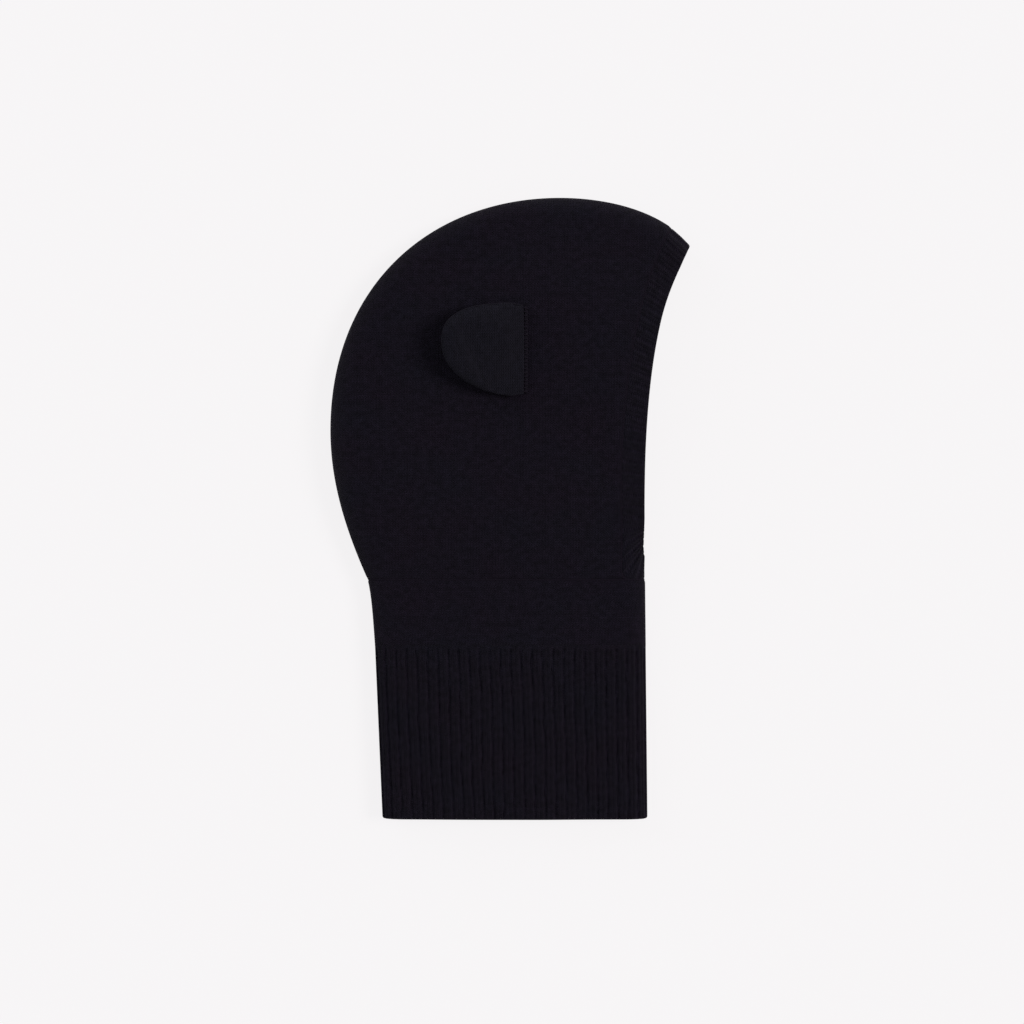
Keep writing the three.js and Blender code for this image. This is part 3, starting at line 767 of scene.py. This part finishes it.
def makeNeckBand():
    end = cuffTopY + 0.01
    top = [(neckTopY - e, float(rolledIn(e, bandValues)), 0) for e in rollSteps]
    middle = [(y, 0.0, 0) for y in np.linspace(neckTopY - 2.6, end, 26)]
    inside = [(y, bandValues["thickness"], 0) for y in np.linspace(end, neckTopY, 16)]
    rings = neckTube(top + middle + inside, eased(np.linspace(0, 1, 150)), None, bandValues)
    return finishPiece(makeKnitRing("neckBand", *rings, plainKnit), "balaclava", "hood_knit", "neck_band")


cuffValues = {
    "ribs": 27,  # on each side
    "raised": 0.36,  # the plain pair spreads over this share of a rib at either side of its middle
    "ribDepth": 1.05,  # mm from the plain wales down to the purl ones
    "waleGroove": 0.42,  # mm, the furrow between the two plain wales
    "stray": (0.35, 0.15),  # mm, slow and quick wandering of the ribs
    "course": 1.5,
    "thickness": 3.0,
    "hemRound": 1.5,  # mm, how the hem turns under
    "columnsPerRib": 20,
}


def makeNeckCuff():
    ribs = cuffValues["ribs"]
    start = cuffTopY - 0.01
    fade = [(start - e, 0.0, float(smoothStep(e, -0.6, 4.0))) for e in (0.0, 0.5, 1.1, 1.8, 2.6, 3.4)]
    body = [(y, 0.0, 1.0) for y in np.linspace(start - 4.4, hemY + 2.0, 52)]
    turn = np.linspace(0, 0.5 * math.pi, 6)[1:]
    turned = cuffValues["hemRound"]
    hem = [(hemY + 1.6 * (1 - math.sin(t)), turned * (1 - math.cos(t)), math.cos(t)) for t in turn]
    hem += [(hemY + 1.2 * (1 - math.cos(t)), turned * (1 + math.sin(t)), 0.0) for t in turn]
    inside = [(y, cuffValues["thickness"], 0.0) for y in np.linspace(hemY + 6, start, 14)]
    shares = np.linspace(0, 1, ribs * cuffValues["columnsPerRib"] + 1)
    rings = neckTube(fade + body + hem + inside, shares, ribs, cuffValues)
    return finishPiece(makeKnitRing("neckCuff", *rings, ribKnit), "balaclava", "rib_knit", "neck_cuff")


neckBand = makeNeckBand()
neckCuff = makeNeckCuff()


trimValues = {
    "ribs": cheekRibs + chinRibs,  # on each side
    "raised": 0.35,
    "ribDepth": 0.8,
    "waleGroove": 0.35,
    "course": 1.5,
    "thickness": 3.2,
    "columnsPerRib": 16,
    "roll": 1.35,
    "rollWidth": 1.9,
    "proud": 1.3,  # how far the free edge stands past its line at the forehead
    "proudReach": 6,  # mm from the free edge
    "edgeReach": 2.2,  # mm from the free edge, where its round ends
}


def makeFaceTrim():
    ribs, half = trimValues["ribs"], 0.5 * trimValues["thickness"]
    shares, sides = ringColumns(np.linspace(0, 1, ribs * trimValues["columnsPerRib"] + 1))
    free, link = trimEdges(shares)
    width = np.linalg.norm(link - free, axis=1)
    extra, purl = ribProfile(shares * ribs, trimValues)
    end = outlineValues["trimWidth"] - halfChannel
    section = []  # round the free edge, over the outer face to the linked edge, and back inside
    for turn in np.linspace(-0.5 * math.pi, 0.5 * math.pi, 11):
        depth = half - half * math.sin(turn)
        section.append((half * (1 - math.cos(turn)) * 0.9, depth, max(0.0, 1 - depth / half)))
    section += [(e, 0.0, 1.0) for e in np.linspace(trimValues["edgeReach"], end - 2.5, 13)]
    section += [(end - e, float(rolledIn(e, trimValues)), float(quarter(e / 2.4))) for e in rollSteps[::-1]]
    section += [(e, trimValues["thickness"], 0.0) for e in np.linspace(end, trimValues["edgeReach"], 6)]
    points, stitches = [], []
    for fromFree, depth, ribbing in section:
        proud = trimValues["proud"] * max(0.0, 1 - fromFree / trimValues["proudReach"])
        proud = proud * (1 - smoothStep(shares, 0.02, 0.25))
        past = (fromFree - proud) * width / outlineValues["trimWidth"] - width
        points.append(inKnit(onTrim(shares, past), sides, depth + ribbing * extra))
        stitches.append(np.column_stack([
            shares * ribs * 4, np.full(len(shares), fromFree / trimValues["course"]), purl]))
    piece = makeKnitRing("faceTrim", points, stitches, ribKnit)
    return finishPiece(piece, "balaclava", "rib_knit", "face_trim")


faceTrim = makeFaceTrim()


# Linking seams: three strands plaited flat, so that they show as a row of small Vs.
seamValues = {
    "pitch": 5.4,  # mm for a strand to come back to its place, about three stitches
    "sideways": 0.42,  # mm by which a strand swings to either side
    "under": 0.2,  # and over and under the others
    "strand": 0.3,  # mm, half its thickness
    "depth": 0.72,  # mm from the outer face down to the seam's middle
    "stepsPerPitch": 12,
    "sides": 6,
}


def plait(centre, across, outward, closed, values):
    # centre, across, outward: points along the seam with the directions to its side and out of the knit
    walked = lengthsAlong(centre)
    turns = max(int(round(walked[-1] / values["pitch"])), 1)
    count, sides = turns * values["stepsPerPitch"], values["sides"]
    at = np.linspace(0, walked[-1], count, endpoint=not closed)
    middle, side, out = (np.stack([np.interp(at, walked, a[:, k]) for k in range(3)], -1)
                         for a in (centre, across, outward))
    side, out = unit(side), unit(out)
    points, faces = [], []
    for strand in range(3):
        angle = 2 * math.pi * (at / walked[-1] * turns + strand / 3)[:, None]
        line = middle + side * values["sideways"] * np.sin(angle) + out * values["under"] * np.sin(2 * angle)
        forward = np.roll(line, -1, 0) - np.roll(line, 1, 0)
        if not closed:
            forward[0], forward[-1] = line[1] - line[0], line[-1] - line[-2]
        points.append(strandRings(line, unit(forward), out, values["strand"], sides))
        start = strand * count * sides
        faces += gridFaces(count, sides, True, True, start) if closed else tubeFaces(count, sides, start)
    return np.concatenate(points), faces


def seamLine(placesAt, sides):  # centre, across and outward along a seam in the knit
    depth = seamValues["depth"]
    centre = inKnit(placesAt(0.0), sides, depth)
    beside = inKnit(placesAt(0.6), sides, depth)
    below = inKnit(placesAt(0.0), sides, depth + 0.6)
    return centre, beside - centre, centre - below


def makeSeam(name, node, lines, closed=False):
    piece = makePiece(name, *plait(*lines, closed, seamValues), seamThread)
    finishPiece(piece, "balaclava", "seam_thread", node)


def makeTrimSeam():
    cheek = eased(np.linspace(0, 1, 240)) * cheekShare
    under = cheekShare + (1 - cheekShare) * np.linspace(0, 1, 90)[1:]
    shares, sides = ringColumns(np.concatenate([cheek, under]))
    lines = [np.concatenate([a, a[:1]]) for a in seamLine(lambda past: onTrim(shares, past), sides)]
    makeSeam("faceTrimSeam", "trim_seam", lines, closed=True)


def makeNeckSeam():
    t = np.linspace(-1, 1, 300)
    sides = np.where(t < 0, 1.0, -1.0)
    backAt = pointAt(backEdge, backShareAt(linkEndY))
    front = linkX + 0.56 * outlineValues["trimCorner"]

    def placesAt(offset):
        places = np.stack([backAt[0] + (front - backAt[0]) * (1 - np.cos(0.5 * math.pi * t)),
                           np.full(len(t), linkEndY + offset)], -1)
        atBack = np.abs(t) < 0.02
        places[atBack, 0] = pointAt(backEdge, backShareAt(linkEndY + offset))[0] + 0.02
        return places

    makeSeam("neckSeam", "neck_seam", seamLine(placesAt, sides))


def makeCrownSeam():
    places = pointAt(backEdge, np.linspace(crownStart, crownEnd, 500))
    _, inward = fromFold(places)
    depth = seamValues["depth"] - 0.1
    centre = np.column_stack([places + inward * depth, np.full(len(places), outlineValues["foldHeight"])])
    outward = np.column_stack([-inward, np.zeros(len(places))])
    across = np.tile([0.0, 0.0, 1.0], (len(places), 1))
    makeSeam("crownSeam", "crown_seam", (centre, across, outward))


makeTrimSeam()
makeNeckSeam()
makeCrownSeam()


# Ears: two knit faces closed round wadding, swelled as cloth.
earValues = {
    "baseGap": 0.6,  # mm from the hinge line to the pad's base edge
    "rim": 0.9,  # mm, room outside the pad for its edging, and how far in the edging's own middle lies
    "bend": (0.5, 5.0),  # mm from the hinge line, where the pad starts to turn and where it has turned fully
    "rimUnder": 0.3,  # mm, how far the edging hangs below the middle of the pad
    "voxel": 2.0,  # mm
    "mostSwelling": 2.4,  # mm
    "heldRim": 0.95,  # share of the way from the middle to the rim, from which the rim is held
    "heldBase": 2.2,  # mm from the base over which it is held
    "smoothing": 6,
    "fullness": 2.3,  # 2 would be half an ellipse; more fills out its quarters
    "tipLean": 4.6,  # mm by which the tip leans towards the crown
    "pinch": 0.05,  # how much the sewn base draws in the pad's width
    "pinchFade": 9,  # mm over which the width comes back
    "thinBase": 26,  # mm over which the wadding thins out towards the base
}
clothValues = {  # a light, stretchy knit that gives by 6%
    "use_pressure": True,
    "uniform_pressure_force": 4.0,
    "mass": 0.2,
    "tension_stiffness": 20,
    "bending_stiffness": 0.4,
    "shrink_min": -0.06,
    "vertex_group_mass": "held",
}
clothFrames = 20
earShapes = {
    "ear_right": {"side": 1, "tilt": 10, "curl": 3.0, "outer": 5.6, "inner": 2.2, "swell": 1.0, "edge": 1.2},
    "ear_left": {"side": -1, "tilt": 0, "curl": 0.0, "outer": 1.3, "inner": 1.3, "swell": 0.12, "edge": 1.1},
}


def earSize(room):  # length and half width of an outline that lies this far inside the ear's edge
    return earLength - room - earValues["baseGap"], earHalfBase - room


def earOutline(angle, reach, halfBase):  # away from the base and along it, from one of its ends to the other
    power = 2 / earValues["fullness"]
    away = reach * np.abs(np.sin(angle)) ** power
    along = halfBase * np.sign(np.cos(angle)) * np.abs(np.cos(angle)) ** power
    along = along * (1 - earValues["pinch"] * (1 - smoothStep(away, 0, earValues["pinchFade"])))
    return away, along + earValues["tipLean"] * (away / reach) ** 2


def padStart(shape):  # the pad before it swells, lying flat: away from the hinge, along it, and up
    rings, around = 14, 48
    count = around + 1
    edge = earOutline(np.linspace(0, math.pi, count), *earSize(earValues["rim"]))
    points = []
    for face, puff in ((1, shape["outer"]), (-1, shape["inner"])):
        for share in np.arange(rings + 1) / rings:
            away, along = (share * part for part in edge)
            lift = shape["edge"] + puff * (1 - share ** 3) * smoothStep(away, -4, earValues["thinBase"])
            points.append(np.stack([away + earValues["baseGap"], along, face * lift], -1))
    under = (rings + 1) * count
    rim = rings * count
    faces = gridFaces(rings + 1, count) + gridFaces(rings + 1, count, start=under)
    faces += [[j, j + 1, under + j + 1, under + j] for j in range(rim, rim + around)]
    for column in (0, around):
        faces += [[j, j + count, under + j + count, under + j] for j in range(column, rim + column, count)]
    return points, faces


def applyModifiers(piece):
    finished = piece.evaluated_get(bpy.context.evaluated_depsgraph_get())
    piece.data = bpy.data.meshes.new_from_object(finished)
    piece.modifiers.clear()


def cornersOf(piece):
    return np.array([corner.co for corner in piece.data.vertices]) * 1000


def moveCorners(piece, corners):
    piece.data.vertices.foreach_set("co", (corners * 0.001).astype(np.float32).ravel())


def swellPad(pad, shape):  # cloth with pressure, held along its rim and base, then limited
    bpy.context.view_layer.objects.active = pad
    remesh = pad.modifiers.new("remesh", "REMESH")
    remesh.mode = "VOXEL"
    remesh.voxel_size = min(earValues["voxel"], 1.1 * shape["edge"] + 0.4) * 0.001
    applyModifiers(pad)
    before = cornersOf(pad)
    reach, halfBase = earSize(earValues["rim"])
    out = np.clip((before[:, 0] - earValues["baseGap"]) / reach, 0, None)
    aside = np.abs(before[:, 1] - earValues["tipLean"] * out * out) / halfBase
    power = earValues["fullness"]
    held = (out ** power + aside ** power) ** (1 / power) > earValues["heldRim"]
    held |= out * reach < earValues["heldBase"]
    pad.vertex_groups.new(name="held").add(np.flatnonzero(held).tolist(), 1.0, "REPLACE")
    cloth = pad.modifiers.new("swelling", "CLOTH")
    for setting, value in clothValues.items():
        setattr(cloth.settings, setting, value)
    cloth.settings.effector_weights.gravity = 0
    cloth.collision_settings.use_collision = False
    for number in range(clothFrames):
        bpy.context.scene.frame_set(number + 1)
    applyModifiers(pad)
    pad.vertex_groups.clear()
    bpy.context.scene.frame_set(1)
    moved = cornersOf(pad) - before
    size = np.linalg.norm(moved, axis=1)
    most = earValues["mostSwelling"]
    share = most * np.tanh(size / most) / np.maximum(size, 1e-9) * shape["swell"]
    share *= smoothStep(before[:, 0], earValues["baseGap"], earValues["thinBase"])
    print("swelled up to", round(float(size.max()), 2), "mm before the limit")
    moveCorners(pad, before + moved * share[:, None])
    smooth = pad.modifiers.new("smooth", "SMOOTH")
    smooth.iterations = earValues["smoothing"]
    smooth.factor = 0.5
    finer = pad.modifiers.new("finer", "SUBSURF")
    finer.levels = finer.render_levels = 1
    applyModifiers(pad)


def earPlaces(local, name):  # from the flat pad to where the ear lies, tilted and with its rim curled up
    shape, axis = earShapes[name], earJoints[name]
    away, along, up = local.T
    tilt = math.radians(shape["tilt"])
    out = np.clip(away / earLength, 0, 1)
    up = up + shape["curl"] * out ** 3 + shape["curl"] * 0.25 * (along / earHalfBase) ** 2 * out
    reach = away * math.cos(tilt) - up * math.sin(tilt)
    rise = away * math.sin(tilt) + up * math.cos(tilt)
    return np.stack([axis[0] - reach, axis[1] + along, axis[2] + shape["side"] * rise], -1)


def joinToBase(piece):  # bakes the piece's placement into its mesh
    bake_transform(piece)


def makeEarPad(name, pieceName):
    shape = earShapes[name]
    # the pad's knit carries painted light: lighter, bluer colours for the light the lifted ear catches
    pad = makePiece(pieceName, *padStart(shape), earKnitWithPaintedLight, weld=True)
    swellPad(pad, shape)
    local = cornersOf(pad)
    room = earValues["rim"]  # the smoothed pad is brought back out to its edging
    _, edge = earOutline(np.linspace(0, math.pi, 90), *earSize(room))
    for k, ends in enumerate([(earValues["baseGap"], earLength - room), (edge.min(), edge.max())]):
        local[:, k] = np.interp(local[:, k], [local[:, k].min(), local[:, k].max()], ends)
    setStitches(pad.data, np.column_stack([
        local[:, 1] / hoodValues["wale"], local[:, 0] / hoodValues["course"], np.zeros(len(local))]))
    moveCorners(pad, earPlaces(local, name))
    pad.data.polygons.foreach_set("use_smooth", np.ones(len(pad.data.polygons), bool))
    if shape["side"] < 0:
        pad.data.flip_normals()
    pad.data.update()
    finishPiece(pad, None, "ear_knit", name + "_outer", name + "_inner", name + "_wadding")
    joinToBase(pad)


# The edging is plaited like the seams, a little thicker.
edgingValues = {**seamValues, "sideways": 0.5, "strand": 0.36, "pitch": 6.3}


def makeEarRim(name, pieceName):  # edging plaited round the pad where its two faces are linked
    angle = np.linspace(0.012, math.pi - 0.012, 400)
    away, along = earOutline(angle, *earSize(earValues["rim"]))
    normal = unit(np.stack([-np.gradient(along), np.gradient(away)], -1))

    def placesAt(out, up):
        return earPlaces(np.column_stack([
            earValues["baseGap"] + away + out * normal[:, 0], along + out * normal[:, 1],
            np.full(len(angle), up - earValues["rimUnder"])]), name)

    centre = placesAt(0, 0)
    strands = plait(centre, placesAt(0, 0.6) - centre, placesAt(0.6, 0) - centre, False, edgingValues)
    piece = makePiece(pieceName, *strands, rimThread)
    finishPiece(piece, None, "seam_thread", name + "_rim_seam")
    joinToBase(piece)


baseValues = {
    "room": 2.3,  # mm left free at each end of the hinge line
    "drawn": 0.12,  # how far each stitch pulls the welt down
    "endLength": 1.8,  # over which the welt runs out at both ends
    "halfWidth": 0.8,
    "skirt": 1.9,  # how much wider the welt grows towards the panel
    "above": 0.1,  # how far it stands past the hinge line
    "into": 0.8,  # how deep it bites into the panel
    "pitch": 2.3,  # from one whip stitch to the next
    "thread": 0.3,
}


def besideHinge(name, aside, along, up):  # aside: towards the face opening; up: away from the panel
    axis, side = earJoints[name], earShapes[name]["side"]
    return np.stack([axis[0] + aside, axis[1] + along, axis[2] + side * up], -1)


def makeEarWelt(name, pieceName):  # the panel's own knit, drawn up to the ear by the stitches
    axis = earJoints[name]
    half = earHalfBase - baseValues["room"]
    steps, sides = 150, 20
    along = np.linspace(-half, half, steps)
    foot = np.column_stack([np.full(steps, axis[0]), axis[1] + along])
    panel = inKnit(foot, earShapes[name]["side"], 0.0)[:, 2]
    stand = np.abs(axis[2] - panel)  # from the panel to the hinge line
    ends = quarter((half - np.abs(along)) / baseValues["endLength"])
    middle = 0.5 * (stand + baseValues["into"] + baseValues["above"])
    drawn = baseValues["drawn"] * np.cos(2 * math.pi * along / baseValues["pitch"])
    points, stitches = [], []
    for turn in np.linspace(0, 2 * math.pi, sides, endpoint=False):
        low, high = max(0.0, -math.sin(turn)), max(0.0, math.sin(turn))
        aside = (baseValues["halfWidth"] + baseValues["skirt"] * low) * math.cos(turn) * ends
        up = baseValues["above"] - middle + middle * math.sin(turn) * (0.4 + 0.6 * ends) - drawn * high
        points.append(besideHinge(name, aside, along, up))
        stitches.append(np.column_stack([
            (axis[0] + aside - up * math.cos(turn)) / hoodValues["wale"],
            (axis[1] + along) / hoodValues["course"], np.zeros(steps)]))
    points, stitches = (np.array(a).transpose(1, 0, 2) for a in (points, stitches))
    piece = makePiece(pieceName, points, tubeFaces(steps, sides), plainKnit, stitches)
    finishPiece(piece, "balaclava", "hood_knit")


def makeEarBase(name, pieceName):  # whip stitches, each from the panel over the welt into the pad's base
    half = earHalfBase - baseValues["room"] - 0.4
    path = np.array([
        [2.1, -1.7], [1.6, -0.9], [1.1, -0.05], [0.5, 0.5], [-0.2, 0.9], [-0.9, 1.15], [-1.6, 1.0]])
    share, sides = np.linspace(0, 1, 12), 7
    aside, up = pointAt(path, share).T
    radius = baseValues["thread"] * roundedEnds(share, 8, 0.05)
    points, faces = [], []
    for start in np.arange(-half, half, baseValues["pitch"]):
        centre = besideHinge(name, aside, start + 0.9 * share, up)
        faces += tubeFaces(len(share), sides, len(points) * len(share) * sides)
        points.append(strandRings(centre, unit(np.gradient(centre, axis=0)), [0, 1, 0], radius, sides))
    piece = makePiece(pieceName, points, faces, seamThread)
    finishPiece(piece, "balaclava", "seam_thread", name + "_base_seam")


for name, label in (("ear_right", "earRight"), ("ear_left", "earLeft")):
    makeEarPad(name, label + "Pad")
    makeEarRim(name, label + "RimSeam")
    makeEarWelt(name, label + "BaseWelt")
    makeEarBase(name, label + "BaseSeam")


# A blank label inside the back of the neck.
labelValues = {
    "curl": 0.25,  # mm, how far its loose end stands off the knit
    "thickness": 0.35,
    "stitchPitch": 2.4,
    "stitchLength": 1.7,
    "thread": 0.28,  # half its thickness
}


def makeLabel():
    low, high = (inMillimetres(corner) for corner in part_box("care_label"))
    across, down = 24, 28
    u, v = np.meshgrid(np.linspace(0, 1, across), np.linspace(0, 1, down))
    x = low[0] + (high[0] - low[0]) * u
    y = low[1] + (high[1] - low[1]) * v
    lift = labelValues["curl"] * ((1 - v) ** 3 + 0.4 * np.sin(math.pi * 2 * u) * (1 - v)) + 0.2
    upper, lower = (np.stack([x, y, low[2] + lift + thick], -1) for thick in (labelValues["thickness"], 0))
    grid = np.arange(across * down).reshape(down, across)
    edge = [*grid[0], *grid[1:, -1], *grid[-1, -2::-1], *grid[-2:0:-1, 0]]
    edge = [int(corner) for corner in edge]
    faces = gridFaces(down, across) + gridFaces(down, across, start=grid.size)
    faces += [[a, b, grid.size + b, grid.size + a] for a, b in zip(edge, edge[1:] + edge[:1])]
    piece = makePiece("careLabel", [upper, lower], faces, labelSatin)
    finishPiece(piece, "balaclava", "label_satin", "care_label")


def makeLabelStitches():  # one short capsule to each stitch
    low, high = (inMillimetres(corner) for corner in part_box("label_stitch"))
    share, sides = np.linspace(0, 1, 9), 8
    points, faces = [], []
    for start in np.arange(low[0] + 0.4, high[0] - 1.8, labelValues["stitchPitch"]):
        centre = np.column_stack([
            start + labelValues["stitchLength"] * share, np.full(9, 0.5 * (low[1] + high[1])),
            low[2] + 0.3 + 0.12 * np.sin(math.pi * share)])
        faces += tubeFaces(9, sides, len(points) * 9 * sides)
        radius = labelValues["thread"] * roundedEnds(share, 4, 0.02)
        points.append(strandRings(centre, np.tile([1.0, 0, 0], (9, 1)), [0, 0, -1], radius, sides))
    piece = makePiece("labelStitches", points, faces, seamThread)
    finishPiece(piece, "balaclava", "seam_thread", "label_stitch")


makeLabel()
makeLabelStitches()


stageValues = {
    "board": "#4c4b4b",
    "glow": (0.860, 0.846, 0.854, 1.0),  # with the board's own share this comes to a pale, faintly warm white
    "tooth": 1.111,  # mm, grain of the board
    "gap": 0.0004,  # metres between the board and the knit
    "halfWidth": 20,  # metres, so that its edge is never in view
    "world": 0.45,
}
softboxValues = {
    "keySoftbox": {"toward": (1.2, 0.16, 1.15), "spread": 22, "strength": 2.1, "colour": (1.0, 0.985, 0.99)},
    # low, so that it only brushes what turns away from the key
    "coolSoftbox": {"toward": (-1.0, 0.75, 0.5), "spread": 35, "strength": 0.85, "colour": (0.76, 0.9, 1.0)},
}

# Opal acrylic board, lit from within: an even, pale floor with hardly a shadow on it.
floorMaterial, floorTree = startMaterial("opal acrylic board lit from within")
floorPlace = addNode(floorTree, "ShaderNodeTexCoord").outputs["Object"]
floorTooth = addNode(floorTree, "ShaderNodeTexNoise", None, {
    "Vector": floorPlace, "Scale": 1000 / stageValues["tooth"], "Detail": 2.0}).outputs["Fac"]
floorBump = addNode(floorTree, "ShaderNodeBump", None, {
    "Strength": 0.05, "Distance": 0.0001, "Height": floorTooth})
floorShader = addNode(floorTree, "ShaderNodeBsdfPrincipled", None, {
    "Base Color": toLinear(stageValues["board"]), "Roughness": 0.9, "Normal": floorBump,
    "Specular IOR Level": 0.0, "Emission Color": stageValues["glow"], "Emission Strength": 1.0})
closeMaterial(floorTree, floorShader)
floorMesh = bpy.data.meshes.new("floor")
half = stageValues["halfWidth"]
corners = [(-half, -half, 0), (half, -half, 0), (half, half, 0), (-half, half, 0)]
floorMesh.from_pydata(corners, [], [(0, 1, 2, 3)])
floorMesh.materials.append(floorMaterial)
floor = putInScene("floor", floorMesh)
floor.location.z = cadLow.z - stageValues["gap"]

world = bpy.data.worlds.new("studio")
world.use_nodes = True
background = world.node_tree.nodes["Background"]
background.inputs["Color"].default_value = (1.0, 1.0, 1.0, 1.0)
background.inputs["Strength"].default_value = stageValues["world"]
bpy.context.scene.world = world
bpy.context.scene.view_settings.view_transform = "Standard"


for name, values in softboxValues.items():  # big softboxes far off, so that they light evenly
    softbox = bpy.data.lights.new(name, "SUN")
    softbox.angle = math.radians(values["spread"])
    softbox.energy = values["strength"]
    softbox.color = values["colour"]
    stand = putInScene(name, softbox)
    stand.location = Vector(values["toward"]) * 2
    stand.rotation_mode = "QUATERNION"
    stand.rotation_quaternion = Vector(values["toward"]).to_track_quat("Z", "Y")
